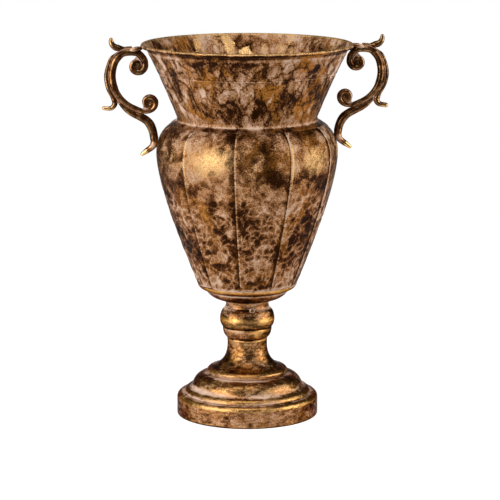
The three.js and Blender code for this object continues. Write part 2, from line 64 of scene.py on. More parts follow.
# Foot and stem
PLINTH_ROUNDING = 4.4
PLINTH_FOOT_WIDTH = 8.0
PLINTH_TOP_WIDTH = 14.0
BEAD_HEIGHT = 6.1
BEAD_WIDTH = 8.2
DOME_TOP_RADIUS = 44.0
DOME_TOP_WIDTH = 10.4
SHELL_LIP = 4.0
GROOVE_RISE = 1.3
STEM_FOOT_EDGE = 6.4
STEM_FOOT_ROUNDING = 2.4
STEM_TOP_RADIUS = 21.2
KNOP_TOP_RADIUS = 23.2
SPIGOT_HEIGHT = 5.0
COLLAR_SPREAD = 1.6
PIN_TURN = 12.0
ROD_RADIUS = 4.0

# Bowl
CUP_STEP_RADIUS = 43.5
CUP_STEP_HEIGHT = 10.7
CUP_LIP = 1.2
CUP_SPIGOT_HEIGHT = 5.5
BOWL_RADIUS = 94.3
BOWL_HEIGHT = 138.0
SHOULDER_TOP_RADIUS = 75.5
PANEL_COUNT = 10
SEAM_STAND = 1.0
SEAM_TURN = -8.0
SIDE_SHARE = 6 / 11

# Neck
WAIST_RADIUS = 73.0
WAIST_RISE = 5.5
NECK_HEIGHT = 74.0
NECK_LEAN = 55.0
RIM_RADIUS = 110.2
WIRE_RADIUS = 0.8
HEM_WRAP = 285.0
NECK_SEAM_RISE = 45.4
NECK_LAP = 8.0
NECK_JOG = 1.6
FLANGE_WIDTH = 4.2


def levels_of(node):
    """A solid's lowest level, highest level and radius."""
    low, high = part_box(node)
    return low.z / MILLIMETRE, high.z / MILLIMETRE, high.y / MILLIMETRE


# Levels and radii that the solids give
_, PLINTH_TOP, PLINTH_RADIUS = levels_of("base_plinth")
DOME_FOOT, DOME_TOP, BEAD_RADIUS = levels_of("foot_dome")
STEM_FOOT, STEM_TOP, STEM_FOOT_RADIUS = levels_of("stem_trumpet")
RING_FOOT, RING_TOP, RING_RADIUS = levels_of("stem_ring")
KNOP_FOOT, _, KNOP_RADIUS = levels_of("stem_knop")
SOCKET_FOOT, SOCKET_TOP, SOCKET_RADIUS = levels_of("stem_socket")
CUP_FOOT, _, BOWL_FOOT_RADIUS = levels_of("bowl_cup")
BOWL_FOOT, SHOULDER_TOP, _ = levels_of("bowl_panel_01")

# Levels and radii that follow from them
DOME_RADIUS = BEAD_RADIUS - BEAD_WIDTH
KNOP_TOP = SOCKET_FOOT - SEAT
SPIGOT_RADIUS = SOCKET_RADIUS - SHELL_WALL - SEAT
ROD_HOLE = ROD_RADIUS + SEAT
CUP_TOP = BOWL_FOOT - SEAT
BOWL_WIDEST = BOWL_FOOT + BOWL_HEIGHT
SHOULDER_HEIGHT = SHOULDER_TOP - BOWL_WIDEST
PANEL_PITCH = 360 / PANEL_COUNT
WAIST = SHOULDER_TOP + WAIST_RISE
NECK_SEAM = WAIST + NECK_SEAM_RISE
RIM_LEVEL = WAIST + NECK_HEIGHT
HEM_INSIDE = WIRE_RADIUS + SEAT
WIRE_RING = RIM_RADIUS - HEM_INSIDE - SHEET

# Lines in an upright plane are arrays of (radius, height).


def at(radius, height):
    return np.array([radius, height], float)


def polar(centre, radius, degrees):
    turn = math.radians(degrees)
    return at(centre[0] + radius * math.cos(turn), centre[1] + radius * math.sin(turn))


def arc(centre, radius, start, end, steps):
    return np.array([polar(centre, radius, degrees) for degrees in np.linspace(start, end, steps + 1)])


def bezier(points, shares):
    """Points at the given shares of a Bezier curve of any degree."""
    shares = np.asarray(shares, float)[:, None]
    level = [np.repeat(point[None], len(shares), axis=0) for point in points]
    while len(level) > 1:
        level = [a + (b - a) * shares for a, b in zip(level, level[1:])]
    return level[0]


def bend(points, steps):
    return bezier(points, np.linspace(0, 1, steps + 1))


def between(low, high, share):
    return low + (high - low) * share


def falloff(distance, reach):
    """One at no distance, easing to nothing at the reach."""
    share = np.clip(1 - np.abs(distance) / reach, 0, 1)
    return share * share * (3 - 2 * share)


def rise(value, start, end):
    """Nothing at the start, easing to one at the end, which may be the lower of the two."""
    share = np.clip((value - start) / (end - start), 0, 1)
    return share * share * (3 - 2 * share)


def evenly(line, spacing):
    """The same line with evenly spaced points."""
    run = np.concatenate([[0], np.cumsum(np.linalg.norm(np.diff(line, axis=0), axis=1))])
    places = np.linspace(0, run[-1], max(2, round(run[-1] / spacing)) + 1)
    return np.column_stack([np.interp(places, run, line[:, axis]) for axis in range(line.shape[1])])


def softened(line, passes):
    """Eases the corners of an evenly spaced line and keeps its ends."""
    line = line.copy()
    for _ in range(passes):
        line[1:-1] = (line[:-2] + 2 * line[1:-1] + line[2:]) / 4
    return line


def right_of(line):
    along = np.gradient(line, axis=0)
    along /= np.linalg.norm(along, axis=1, keepdims=True)
    return np.column_stack([along[:, 1], -along[:, 0]])


def thickened(line, wall):
    """The wall's other face, mitred at the corners, on the right of a line."""
    steps = np.diff(line, axis=0)
    steps = steps / np.linalg.norm(steps, axis=1, keepdims=True)
    normals = np.column_stack([steps[:, 1], -steps[:, 0]])
    into = np.vstack([normals[:1], normals])
    out = np.vstack([normals, normals[-1:]])
    mitre = into + out
    mitre /= np.linalg.norm(mitre, axis=1, keepdims=True)
    return line + mitre * (wall / np.sum(mitre * into, axis=1))[:, None]


# Meshes are skins over grids of points, counted in rows and columns.


def grid_faces(rows, columns, rows_closed):
    """Faces of a grid whose columns close in a round, and its rows too where asked."""
    row = np.arange(rows if rows_closed else rows - 1)[:, None]
    column = np.arange(columns)[None]
    next_row, next_column = (row + 1) % rows, (column + 1) % columns
    corners = [row * columns + column, row * columns + next_column,
               next_row * columns + next_column, next_row * columns + column]
    return np.stack([np.broadcast_to(c, (row.size, column.size)).ravel() for c in corners], axis=1)


def make_piece(name, points, faces, material, marks, node):
    """Makes a solid's visible piece from points in millimetres and the marks that its material reads."""
    mesh = bpy.data.meshes.new(name)
    places = np.reshape(points, (-1, 3)) * MILLIMETRE
    mesh.from_pydata(places.tolist(), [], [list(map(int, face)) for face in faces])
    for mark, values in marks.items():
        layer = mesh.attributes.new(mark, "FLOAT", "POINT")
        layer.data.foreach_set("value", np.ascontiguousarray(values, np.float32).ravel())
    shape = bmesh.new()
    shape.from_mesh(mesh)
    bmesh.ops.recalc_face_normals(shape, faces=shape.faces)
    shape.to_mesh(mesh)
    shape.free()
    mesh.shade_smooth()
    mesh.set_sharp_from_angle(angle=math.radians(SHARP_ANGLE))
    piece = bpy.data.objects.new(name, mesh)
    bpy.context.scene.collection.objects.link(piece)
    piece.data.materials.append(material)
    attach(piece, "root")
    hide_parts(node)


def around(count):
    return np.linspace(0, 2 * math.pi, count, endpoint=False)


def on_circle(radius, azimuth, height):
    """Points at an azimuth counted in radians from the front towards +X."""
    radius, azimuth, height = np.broadcast_arrays(radius, azimuth, height)
    return np.stack([radius * np.sin(azimuth), -radius * np.cos(azimuth), height], axis=-1)


def hand_wobble(seed, azimuth, height, size):
    """How far hand work strays from round: a few slow waves."""
    chance = np.random.default_rng(seed)
    stray = np.zeros(np.broadcast(azimuth, height).shape)
    for waves in range(2, 7):
        phase, lean = chance.uniform(0, 2 * math.pi), chance.normal(0, 0.05)
        stray += chance.uniform(0.4, 1) / waves * np.cos(waves * azimuth + phase + lean * height)
    return size * stray


# Materials

# A mix node's sockets for its factor, its two ends and its result, by kind of value
MIX_SOCKETS = {"RGBA": (0, 6, 7, 2), "FLOAT": (0, 2, 3, 0)}


class Laying:
    """Adds nodes to a tree and links them, column by column."""

    def __init__(self, tree):
        self.tree = tree
        self.count = 0

    def add(self, kind, inputs=None, **settings):
        node = self.tree.nodes.new(kind)
        node.location = (200 * (self.count // 6), -220 * (self.count % 6))
        self.count += 1
        for key, value in settings.items():
            setattr(node, key, value)
        for key, value in (inputs or {}).items():
            self.feed(node.inputs[key], value)
        return node

    def feed(self, socket, value):
        if isinstance(value, bpy.types.NodeSocket):
            self.tree.links.new(value, socket)
        else:
            socket.default_value = value

    def sums(self, operation, a, b):
        return self.add("ShaderNodeMath", {0: a, 1: b}, operation=operation).outputs[0]

    def plus(self, a, b):
        return self.sums("ADD", a, b)

    def times(self, a, b):
        return self.sums("MULTIPLY", a, b)

    def less(self, a, b):
        return self.sums("SUBTRACT", a, b)

    def most(self, a, b):
        return self.sums("MAXIMUM", a, b)

    def ease(self, value, low, high, to_low=0.0, to_high=1.0):
        inputs = {"Value": value, "From Min": low, "From Max": high, "To Min": to_low, "To Max": to_high}
        node = self.add("ShaderNodeMapRange", inputs, interpolation_type="SMOOTHSTEP")
        return node.outputs["Result"]

    def mix(self, kind, *factor_and_ends):
        *sockets, result = MIX_SOCKETS[kind]
        inputs = dict(zip(sockets, factor_and_ends))
        return self.add("ShaderNodeMix", inputs, data_type=kind, clamp_factor=True).outputs[result]

    def blend(self, factor, a, b):
        return self.mix("RGBA", factor, a, b)

    def slide(self, factor, a, b):
        return self.mix("FLOAT", factor, a, b)

    def cloud(self, vector, per_metre, detail, roughness, warp=0.0):
        inputs = {"Vector": vector, "Scale": per_metre, "Detail": detail, "Roughness": roughness,
                  "Distortion": warp}
        return self.add("ShaderNodeTexNoise", inputs).outputs["Fac"]

    def shifted(self, vector, offset, scale=(1, 1, 1)):
        inputs = {"Vector": vector, "Location": offset, "Scale": scale}
        return self.add("ShaderNodeMapping", inputs).outputs[0]

    def mark(self, name):
        return self.add("ShaderNodeAttribute", attribute_name=name).outputs["Fac"]


def start_group(name, sockets_in, sockets_out):
    """A shader node group with named inputs and outputs; returns its laying, its inputs and its end."""
    tree = bpy.data.node_groups.new(name, "ShaderNodeTree")
    for way, sockets in (("INPUT", sockets_in), ("OUTPUT", sockets_out)):
        for socket, kind in sockets.items():
            tree.interface.new_socket(socket, in_out=way, socket_type=kind)
    lay = Laying(tree)
    start = lay.add("NodeGroupInput")
    end = lay.add("NodeGroupOutput")
    return lay, start.outputs, end.inputs


COLOUR, NUMBER, VECTOR = "NodeSocketColor", "NodeSocketFloat", "NodeSocketVector"

# The patina's colours by tone, from bare dark brown to a powdery pale wash
PATINA_TONES = (
    (0.00, (0.022, 0.007, 0.002, 1)),
    (0.20, (0.092, 0.033, 0.011, 1)),
    (0.42, (0.295, 0.134, 0.053, 1)),
    (0.60, (0.445, 0.247, 0.132, 1)),
    (0.78, (0.545, 0.347, 0.235, 1)),
    (1.00, (0.670, 0.490, 0.380, 1)),
)
GOLD = (0.76, 0.46, 0.19, 1)
DEEP_GOLD = (0.64, 0.345, 0.11, 1)
ORANGE = (0.45, 0.175, 0.028, 1)
EDGE_TINT = (0.12, 0.06, 0.03, 1)
PLAIN_BROWN = PATINA_TONES[2][1]
CLOUDS = ("Blotch", "Mottle", "Grain")
CLOUD_SCALES = ("Blotch Scale", "Mottle Scale", "Grain Scale")
PATINA_NUMBERS = ("Tone", "Rub and Highlight", "Stain", *CLOUD_SCALES, *CLOUDS, "Orange", "Bareness", "Dullness")


def patina_group():
    """Brown over metal by tone, stained orange in places, and gold where hands have rubbed it, which in
    places also stands in as a painted highlight.
    """
    lay, given, end = start_group(
        "Antique patina",
        {"Vector": VECTOR, "Gold": COLOUR, **dict.fromkeys(PATINA_NUMBERS, NUMBER)},
        {"Color": COLOUR, "Metallic": NUMBER, "Roughness": NUMBER, "Height": NUMBER},
    )
    place = given["Vector"]
    blotch = lay.ease(lay.cloud(place, given["Blotch Scale"], 3, 0.5), 0.3, 0.7)
    mottle = lay.ease(lay.cloud(place, given["Mottle Scale"], 5, 0.6, 0.5), 0.28, 0.72)
    grain = lay.ease(lay.cloud(place, given["Grain Scale"], 3, 0.7), 0.3, 0.7)
    far = lay.shifted(place, (0.37, 0.11, 0.23))
    veins = lay.ease(lay.cloud(far, given["Blotch Scale"], 6, 0.66, 1.2), 0.5, 0.62)

    tone = given["Tone"]
    for cloud, amount in zip((blotch, mottle, grain), CLOUDS):
        tone = lay.plus(tone, lay.times(lay.less(cloud, 0.5), given[amount]))
    ramp = lay.add("ShaderNodeValToRGB", {"Fac": tone})
    stops = ramp.color_ramp.elements
    while len(stops) < len(PATINA_TONES):
        stops.new(0.5)
    for stop, (position, colour) in zip(stops, PATINA_TONES):
        stop.position = position
        stop.color = colour
    washed = lay.ease(tone, 0.46, 0.82)
    veined = lay.times(lay.times(veins, given["Orange"]), lay.ease(tone, -0.4, 0.2))
    veined = lay.times(veined, lay.less(lay.plus(0.35, lay.times(grain, 0.65)), washed))
    spilled = lay.times(given["Stain"], lay.ease(mottle, 0.0, 0.7, 0.3, 1.0))
    brown = lay.blend(lay.most(veined, spilled), ramp.outputs["Color"], ORANGE)
    worn = lay.times(lay.less(mottle, 0.5), 0.4)
    worn = lay.plus(worn, lay.times(lay.less(grain, 0.5), lay.times(given["Grain"], 0.5)))
    rubbed = lay.ease(lay.plus(given["Rub and Highlight"], worn), 0.05, 1.0)

    lay.feed(end["Color"], lay.blend(rubbed, brown, given["Gold"]))
    bare = lay.slide(rubbed, given["Bareness"], 1.0)
    lay.feed(end["Metallic"], lay.slide(lay.times(washed, lay.less(1.0, rubbed)), bare, 0.08))
    rough = lay.plus(lay.slide(rubbed, given["Dullness"], 0.2), lay.times(lay.less(grain, 0.5), 0.14))
    lay.feed(end["Roughness"], lay.plus(rough, lay.times(washed, 0.3)))
    relief = lay.plus(lay.times(grain, 0.55), lay.times(mottle, 0.45))
    lay.feed(end["Height"], lay.plus(relief, lay.times(washed, 0.3)))
    return lay.tree


def steel_group():
    """Drawn or turned steel with a dull bloom and a few brown freckles."""
    lay, given, end = start_group(
        "Dull steel", {"Vector": VECTOR}, {"Color": COLOUR, "Roughness": NUMBER, "Height": NUMBER})
    bloom = lay.ease(lay.cloud(given["Vector"], 90, 5, 0.6), 0.35, 0.65)
    freckle = lay.ease(lay.cloud(given["Vector"], 420, 3, 0.6), 0.58, 0.72)
    steel = lay.blend(bloom, (0.30, 0.28, 0.26, 1), (0.46, 0.44, 0.41, 1))
    lay.feed(end["Color"], lay.blend(freckle, steel, (0.13, 0.065, 0.03, 1)))
    lay.feed(end["Roughness"], lay.plus(lay.slide(bloom, 0.34, 0.5), lay.times(freckle, 0.25)))
    lay.feed(end["Height"], lay.plus(bloom, freckle))
    return lay.tree


PATINA = patina_group()
STEEL = steel_group()
BUMP_DEPTH = 0.0004
EDGE_SHINE = 0.2
LACQUER_ROUGHNESS = 0.16


def start_surface(owner, kind):
    """Clears the nodes of a material or a world; returns its laying and the socket that shows."""
    owner.use_nodes = True
    owner.node_tree.nodes.clear()
    lay = Laying(owner.node_tree)
    return lay, lay.add(kind).inputs["Surface"]


def finish_metal(name, group, plain_colour, bump, metallic=None, lacquer=0.0,
                 place=(0, 0, 0), stretch=(1, 1, 1)):
    """A metal cut from a place in its group's pattern; returns it with its laying and its group node."""
    material = bpy.data.materials.new(name)
    material.diffuse_color = plain_colour
    lay, shown = start_surface(material, "ShaderNodeOutputMaterial")
    finish = lay.add("ShaderNodeGroup", node_tree=group)
    point = lay.add("ShaderNodeTexCoord").outputs["Object"]
    lay.feed(finish.inputs["Vector"], lay.shifted(point, place, stretch))
    relief = lay.add("ShaderNodeBump", {
        "Height": finish.outputs["Height"], "Strength": bump, "Distance": BUMP_DEPTH})
    shader = lay.add("ShaderNodeBsdfPrincipled", {
        "Base Color": finish.outputs["Color"],
        "Roughness": finish.outputs["Roughness"],
        "Metallic": finish.outputs["Metallic"] if metallic is None else metallic,
        "Normal": relief.outputs["Normal"],
        "Specular Tint": EDGE_TINT,
        "Specular IOR Level": EDGE_SHINE,
        "Coat Weight": lacquer,
        "Coat Roughness": LACQUER_ROUGHNESS,
    })
    lay.feed(shown, shader.outputs[0])
    return material, lay, finish


def patina_metal(name, moved, scales, amounts, orange, bareness, dullness, gold=GOLD, **cut):
    """An antiqued metal with scaled clouds; moved sockets have a level and a share for each named mark."""
    material, lay, finish = finish_metal(name, PATINA, PLAIN_BROWN, **cut)
    for socket, (level, shares) in moved.items():
        total = level
        for mark, share in shares.items():
            total = lay.plus(lay.times(lay.mark(mark), share), total)
        lay.feed(finish.inputs[socket], total)
    settings = {"Orange": orange, "Bareness": bareness, "Dullness": dullness, "Gold": gold}
    settings.update(zip(CLOUD_SCALES + CLOUDS, scales + amounts))
    for socket, value in settings.items():
        finish.inputs[socket].default_value = value
    return material


NECK_METAL = patina_metal(
    "hammered neck",
    {
        "Tone": (0.51, {"groove": 0.5, "facet": 0.21, "ridge": -0.64, "shade": -0.6}),
        "Rub and Highlight": (-0.2, {"rub_and_highlight": 1.0}),
    },
    scales=(30, 96, 750), amounts=(0.64, 0.62, 0.5), orange=0.9, bareness=0.6, dullness=0.32,
    bump=0.9, place=(-0.26, 0.78, -0.64), stretch=(1, 1, 0.65))
BOWL_METAL = patina_metal(
    "hammered bowl",
    {
        "Tone": (0.23, {"groove": 0.64, "ridge": 0.52, "hollow": -0.14, "facet": 0.14, "shade": -0.45}),
        "Rub and Highlight": (-0.05, {"rub_and_highlight": 1.0}),
        "Stain": (0.0, {"stain": 1.0}),
    },
    scales=(26, 90, 850), amounts=(0.46, 0.6, 0.42), orange=0.4, bareness=0.78, dullness=0.28,
    bump=0.9, place=(0.83, 0.61, -0.29))
SPUN_METAL = patina_metal(
    "spun stem and foot",
    {
        "Tone": (0.2, {"groove": 0.72, "shade": -0.4}),
        "Rub and Highlight": (0.1, {"rub_and_highlight": 0.62, "groove": -0.55, "shade": -0.3}),
        "Stain": (0.0, {"stain": 1.0}),
    },
    scales=(36, 160, 900), amounts=(0.42, 0.44, 0.46), orange=0.4, bareness=0.92, dullness=0.17,
    gold=DEEP_GOLD, bump=0.3, place=(-0.26, 0.78, -0.64), stretch=(1, 1, 2.2))
CAST_METAL = patina_metal(
    "bent handle bars",
    {
        "Tone": (0.14, {"groove": 0.85}),
        "Rub and Highlight": (0.22, {"rub_and_highlight": 0.9, "groove": -0.6}),
    },
    scales=(60, 150, 950), amounts=(0.18, 0.12, 0.08), orange=0.2, bareness=0.86, dullness=0.1,
    bump=0.08, lacquer=0.1)
ROD_METAL = finish_metal("dull steel", STEEL, (0.4, 0.38, 0.35, 1), bump=0.3, metallic=1.0)[0]

# Grooves where the wash settles: radius, height, reach and how full they are
GROOVES = [
    (BEAD_RADIUS, DOME_FOOT, 6.0, 1.0),
    (DOME_RADIUS, DOME_FOOT + BEAD_HEIGHT, 7.0, 0.85),
    (STEM_FOOT_RADIUS, STEM_FOOT, 8.0, 1.0),
    (STEM_TOP_RADIUS, RING_FOOT, 3.0, 0.5),
    (RING_RADIUS, KNOP_FOOT - 2, 5.0, 0.55),
    (KNOP_TOP_RADIUS, SOCKET_FOOT, 3.6, 1.0),
    (SOCKET_RADIUS, SOCKET_TOP, 5.0, 0.8),
    (CUP_STEP_RADIUS, CUP_FOOT + CUP_STEP_HEIGHT, 2.6, 1.0),
    (BOWL_FOOT_RADIUS, BOWL_FOOT, 2.4, 1.0),
]


def groove_at(radius, height):
    fill = np.zeros(np.broadcast(radius, height).shape)
    for groove_radius, level, reach, full in GROOVES:
        distance = np.hypot(radius - groove_radius, height - level)
        fill = np.maximum(fill, full * falloff(distance, reach))
    return fill


# Spun shells

SPUN_COLUMNS = 128
SPUN_SPACING = 0.7
SPUN_STRAY = 0.12
CORNER_PASSES = 2
PROUD_PASSES = 24
PROUD_FROM = 0.1
PROUD_RANGE = 0.25
LEAST_RADIUS = 0.5


def off_turn(azimuth, degrees):
    """Degrees from a turn counted from the front towards +X, the short way round."""
    return (np.degrees(azimuth) - degrees + 180) % 360 - 180


def joint_slit(azimuth, height):
    """The open joint under the collar: a dark slit that widens towards the pin and ends beside it."""
    off = off_turn(azimuth, 0)
    width = between(0.65, 1.5, rise(off, -45, -8))
    stretch = rise(off, -85, -70) * rise(off, 9, 5)
    return {"shade": 2.4 * falloff((height - SOCKET_FOOT) / width, 1) * stretch}


def knop_wear_and_dark_reflection(azimuth, height):
    """Dust on the knop's shoulder under the open joint, a polished band below it, and a painted dark
    reflection on its front and lower part.
    """
    share = (height - KNOP_FOOT) / (KNOP_TOP - KNOP_FOOT)
    dusty = rise(share, 0.55, 0.8)
    slit = joint_slit(azimuth, height)["shade"]
    dark_front = falloff(off_turn(azimuth, 2), 34) * falloff(share - 0.34, 0.36)
    return {
        "groove": 0.3 * dusty,
        "rub_and_highlight": 0.75 * falloff(share - 0.46, 0.22) - 0.25 * dusty,
        # Besides the open joint: a painted dark reflection, darker towards the bottom and on the front.
        "shade": slit + np.maximum(rise(share, 0.38, 0.1), 0.9 * dark_front),
    }


def ring_braze_and_painted_light(azimuth, height):
    """Dust on the ring's left, an orange spill at the braze, a gold place beside it that is partly rubbed
    and partly a painted highlight, and a darker tone with painted shade on the right side.
    """
    off = off_turn(azimuth, 0)
    spill = falloff(off - 14, 16) * falloff(height - RING_TOP, 5.5)
    # Dust on the left; the gold place at 24 degrees is partly a painted highlight.
    worn = {"groove": 0.12 * rise(off, 5, -20), "rub_and_highlight": 0.9 * falloff(off - 24, 20)}
    # Darker overall, with painted shade deepening the right side.
    return {**worn, "stain": 1.2 * spill, "shade": 0.45 + 0.3 * rise(off, 40, 60)}


def braze_on_trumpet(azimuth, height):
    """An orange spill of braze low on the trumpet's front."""
    spill = falloff(off_turn(azimuth, 5), 26) * falloff(height - STEM_FOOT - 8, 9)
    return {"stain": 0.9 * spill}


def plinth_knock_and_contact_shadow(azimuth, height):
    """A bare dark place low on the front of the plinth, and a painted contact shadow along its lower edge,
    where the gold rub is taken off too.
    """
    knock = falloff(off_turn(azimuth, 2), 3.2) * falloff(height - 4.5, 4.5)
    painted_contact_shadow = falloff(height, 2.6)
    # The lower edge's darkening is a painted contact shadow, not wear.
    return {"shade": 1.5 * knock + 1.2 * painted_contact_shadow, "rub_and_highlight": -painted_contact_shadow}


def spun_piece(name, corners, node, seed, inside=None, dust=0.0, polish=0.0, spots=None):
    """Spins a line drawn from the top down, with its wall on the right, and marks where it is proud."""
    outer = softened(evenly(corners, SPUN_SPACING), CORNER_PASSES)
    inner = thickened(corners, SHELL_WALL) if inside is None else inside
    loop = np.vstack([outer, inner[::-1]])
    proud = np.sum((outer - softened(outer, PROUD_PASSES)) * -right_of(outer), axis=1)
    shown = (np.arange(len(loop)) < len(outer))[:, None]
    worn = np.clip((proud - PROUD_FROM) / PROUD_RANGE, polish, 1)
    rub_and_highlight = np.concatenate([worn, np.zeros(len(inner))])[:, None]
    azimuth = around(SPUN_COLUMNS)[None]
    radius, height = loop[:, :1], loop[:, 1:]
    stray = hand_wobble(seed, azimuth, height, SPUN_STRAY)
    wiped = np.clip(0.85 + hand_wobble(seed + 40, azimuth, 2 * height, 0.6), 0, 2)
    points = on_circle(np.maximum(radius + stray, LEAST_RADIUS), azimuth, height)
    marks = {
        "groove": np.maximum(groove_at(radius, height), dust * shown) * wiped,
        "rub_and_highlight": rub_and_highlight * np.ones_like(stray),
        # Painted shade on the hidden inner faces.
        "shade": ~shown * np.ones_like(stray),
        "stain": np.zeros_like(stray),
    }
    for mark, values in (spots(azimuth, height) if spots else {}).items():
        marks[mark] = marks[mark] + values * shown
    faces = grid_faces(len(loop), SPUN_COLUMNS, True)
    make_piece(name, points, faces, SPUN_METAL, marks, node)


def plinth_line():
    corner = at(PLINTH_RADIUS - PLINTH_ROUNDING, PLINTH_TOP - PLINTH_ROUNDING)
    return np.vstack([
        at(corner[0] - PLINTH_TOP_WIDTH, PLINTH_TOP),
        arc(corner, PLINTH_ROUNDING, 90, 0, 6),
        at(PLINTH_RADIUS, 0),
        at(PLINTH_RADIUS - PLINTH_FOOT_WIDTH, 0),
    ])


def dome_line():
    spread, height = DOME_RADIUS - DOME_TOP_RADIUS, DOME_TOP - DOME_FOOT - BEAD_HEIGHT
    bead_top = DOME_FOOT + BEAD_HEIGHT
    dome = [
        at(DOME_TOP_RADIUS, DOME_TOP),
        at(DOME_TOP_RADIUS + 0.42 * spread, DOME_TOP - 0.03 * height),
        at(DOME_RADIUS - 0.14 * spread, DOME_TOP - 0.22 * height),
        at(DOME_RADIUS, bead_top + GROOVE_RISE),
    ]
    bead = [
        at(DOME_RADIUS + GROOVE_RISE, bead_top),
        at(BEAD_RADIUS - 0.09 * BEAD_WIDTH, bead_top - 0.1 * BEAD_HEIGHT),
        at(BEAD_RADIUS, DOME_FOOT),
    ]
    return np.vstack([
        at(DOME_TOP_RADIUS - DOME_TOP_WIDTH, DOME_TOP),
        bend(dome, 12),
        bend(bead, 7),
        at(BEAD_RADIUS - SHELL_LIP, DOME_FOOT),
    ])


def trumpet_line():
    flare_radius, flare_level = STEM_FOOT_RADIUS - STEM_FOOT_ROUNDING, STEM_FOOT + STEM_FOOT_EDGE
    flare, fall = flare_radius - STEM_TOP_RADIUS, STEM_TOP - flare_level
    side = [
        at(STEM_TOP_RADIUS, STEM_TOP),
        at(STEM_TOP_RADIUS - 0.08 * flare, STEM_TOP - 0.4 * fall),
        at(STEM_TOP_RADIUS + 0.06 * flare, STEM_TOP - 0.88 * fall),
        at(flare_radius, flare_level),
    ]
    return np.vstack([
        at(STEM_TOP_RADIUS - SHELL_LIP, STEM_TOP),
        bend(side, 16),
        at(STEM_FOOT_RADIUS, flare_level - STEM_FOOT_ROUNDING),
        at(STEM_FOOT_RADIUS - GROOVE_RISE, STEM_FOOT),
        at(STEM_FOOT_RADIUS - SHELL_LIP, STEM_FOOT),
    ])


def ring_line():
    height = RING_TOP - RING_FOOT
    side = [at(RING_RADIUS, RING_TOP), at(RING_RADIUS, RING_FOOT + 0.3 * height),
            at(STEM_TOP_RADIUS + SEAT, RING_FOOT)]
    return np.vstack([
        at(RING_RADIUS - SHELL_LIP, RING_TOP),
        bend(side, 8),
        at(STEM_TOP_RADIUS - SHELL_LIP, RING_FOOT),
    ])


def knop_line():
    height = KNOP_TOP - KNOP_FOOT
    widest = at(KNOP_RADIUS, KNOP_FOOT + 0.39 * height)
    upper = [at(KNOP_TOP_RADIUS, KNOP_TOP), at(KNOP_RADIUS, KNOP_TOP - 0.16 * height), widest]
    lower = [widest, at(KNOP_RADIUS, KNOP_FOOT + 0.14 * height), at(RING_RADIUS, KNOP_FOOT)]
    return np.vstack([
        at(SPIGOT_RADIUS, KNOP_TOP + SPIGOT_HEIGHT),
        at(SPIGOT_RADIUS, KNOP_TOP),
        bend(upper, 9),
        bend(lower, 7)[1:],
        at(RING_RADIUS - SHELL_LIP, KNOP_FOOT),
    ])


def socket_line():
    spread = at(COLLAR_SPREAD, 0)
    top, foot = at(SOCKET_RADIUS, SOCKET_TOP), at(SOCKET_RADIUS, SOCKET_FOOT)
    return np.vstack([
        at(SOCKET_RADIUS - SHELL_LIP, SOCKET_TOP),
        bend([top + spread, top - spread[::-1], between(top, foot, 0.5)], 5),
        bend([between(top, foot, 0.6), foot + spread[::-1], foot + 0.6 * spread], 4),
    ])


def cup_lines():
    """The cup's outer line, and its inner one with the spigot that stands in the panels' feet."""
    lip = at(BOWL_FOOT_RADIUS, CUP_TOP - CUP_LIP)
    step = at(CUP_STEP_RADIUS, CUP_FOOT + CUP_STEP_HEIGHT)
    band_foot = step + CUP_LIP
    flat_edge = at(SOCKET_RADIUS + CAST_WALL, CUP_FOOT)
    band = [lip, between(band_foot, lip, np.array([0.77, 0.2])), band_foot]
    bottom = [step, between(flat_edge, step, np.array([0.76, 0.23])), flat_edge]
    line = np.vstack([
        at(BOWL_FOOT_RADIUS, CUP_TOP),
        bend(band, 7),
        bend(bottom, 8),
        at(ROD_HOLE, CUP_FOOT),
    ])
    inside = thickened(line, CAST_WALL)
    inside = inside[inside[:, 1] < lip[1]]
    spigot_outside = BOWL_FOOT_RADIUS - SHEET - 2 * SEAT
    spigot_inside, spigot_top = spigot_outside - CAST_WALL, CUP_TOP + CUP_SPIGOT_HEIGHT
    spigot = np.vstack([
        at(spigot_outside, CUP_TOP),
        at(spigot_outside, spigot_top),
        at(spigot_inside, spigot_top),
        at(spigot_inside, CUP_TOP),
    ])
    return line, np.vstack([spigot, inside])


def make_stem_and_foot():
    spun_piece("plinth_shell", plinth_line(), "base_plinth", seed=1, dust=0.22, spots=plinth_knock_and_contact_shadow)
    spun_piece("dome_shell", dome_line(), "foot_dome", seed=2, dust=0.17, polish=0.55)
    spun_piece("trumpet_shell", trumpet_line(), "stem_trumpet", seed=3, dust=0.12, polish=0.3,
               spots=braze_on_trumpet)
    spun_piece("ring_shell", ring_line(), "stem_ring", seed=4, dust=0.2, spots=ring_braze_and_painted_light)
    spun_piece("knop_shell", knop_line(), "stem_knop", seed=5, polish=0.3, spots=knop_wear_and_dark_reflection)
    spun_piece("socket_collar", socket_line(), "stem_socket", seed=6, dust=0.46, spots=joint_slit)
    outer, inner = cup_lines()
    spun_piece("cup_casting", outer, "bowl_cup", seed=7, inside=inner, dust=0.04, polish=0.3)


# Hammered sheet

RIDGE_SPREAD = 0.4
BLOW_REACH = 0.62
MEAN_DENT = 0.35
DRIFT_WAVES = 6


def blow_pattern(seed, width, height, across, along, stray):
    """Hammer blows in staggered rows, strayed by hand: places, sizes, depths and chance values."""
    chance = np.random.default_rng(seed)
    columns, rows = max(2, round(width / across)), max(2, round(height / along))
    column, row = np.meshgrid(np.arange(columns), np.arange(-1, rows + 1))
    places = np.column_stack([
        ((column + 0.5 * (row % 2)) * width / columns).ravel(),
        ((row + 0.5) * height / rows).ravel(),
    ])
    places += chance.normal(0, stray, places.shape) * [across, along]
    count = len(places)
    sizes, depths = chance.uniform(0.7, 1.25, count), chance.uniform(0.45, 1, count)
    return places, sizes, depths, chance.uniform(-1, 1, count)


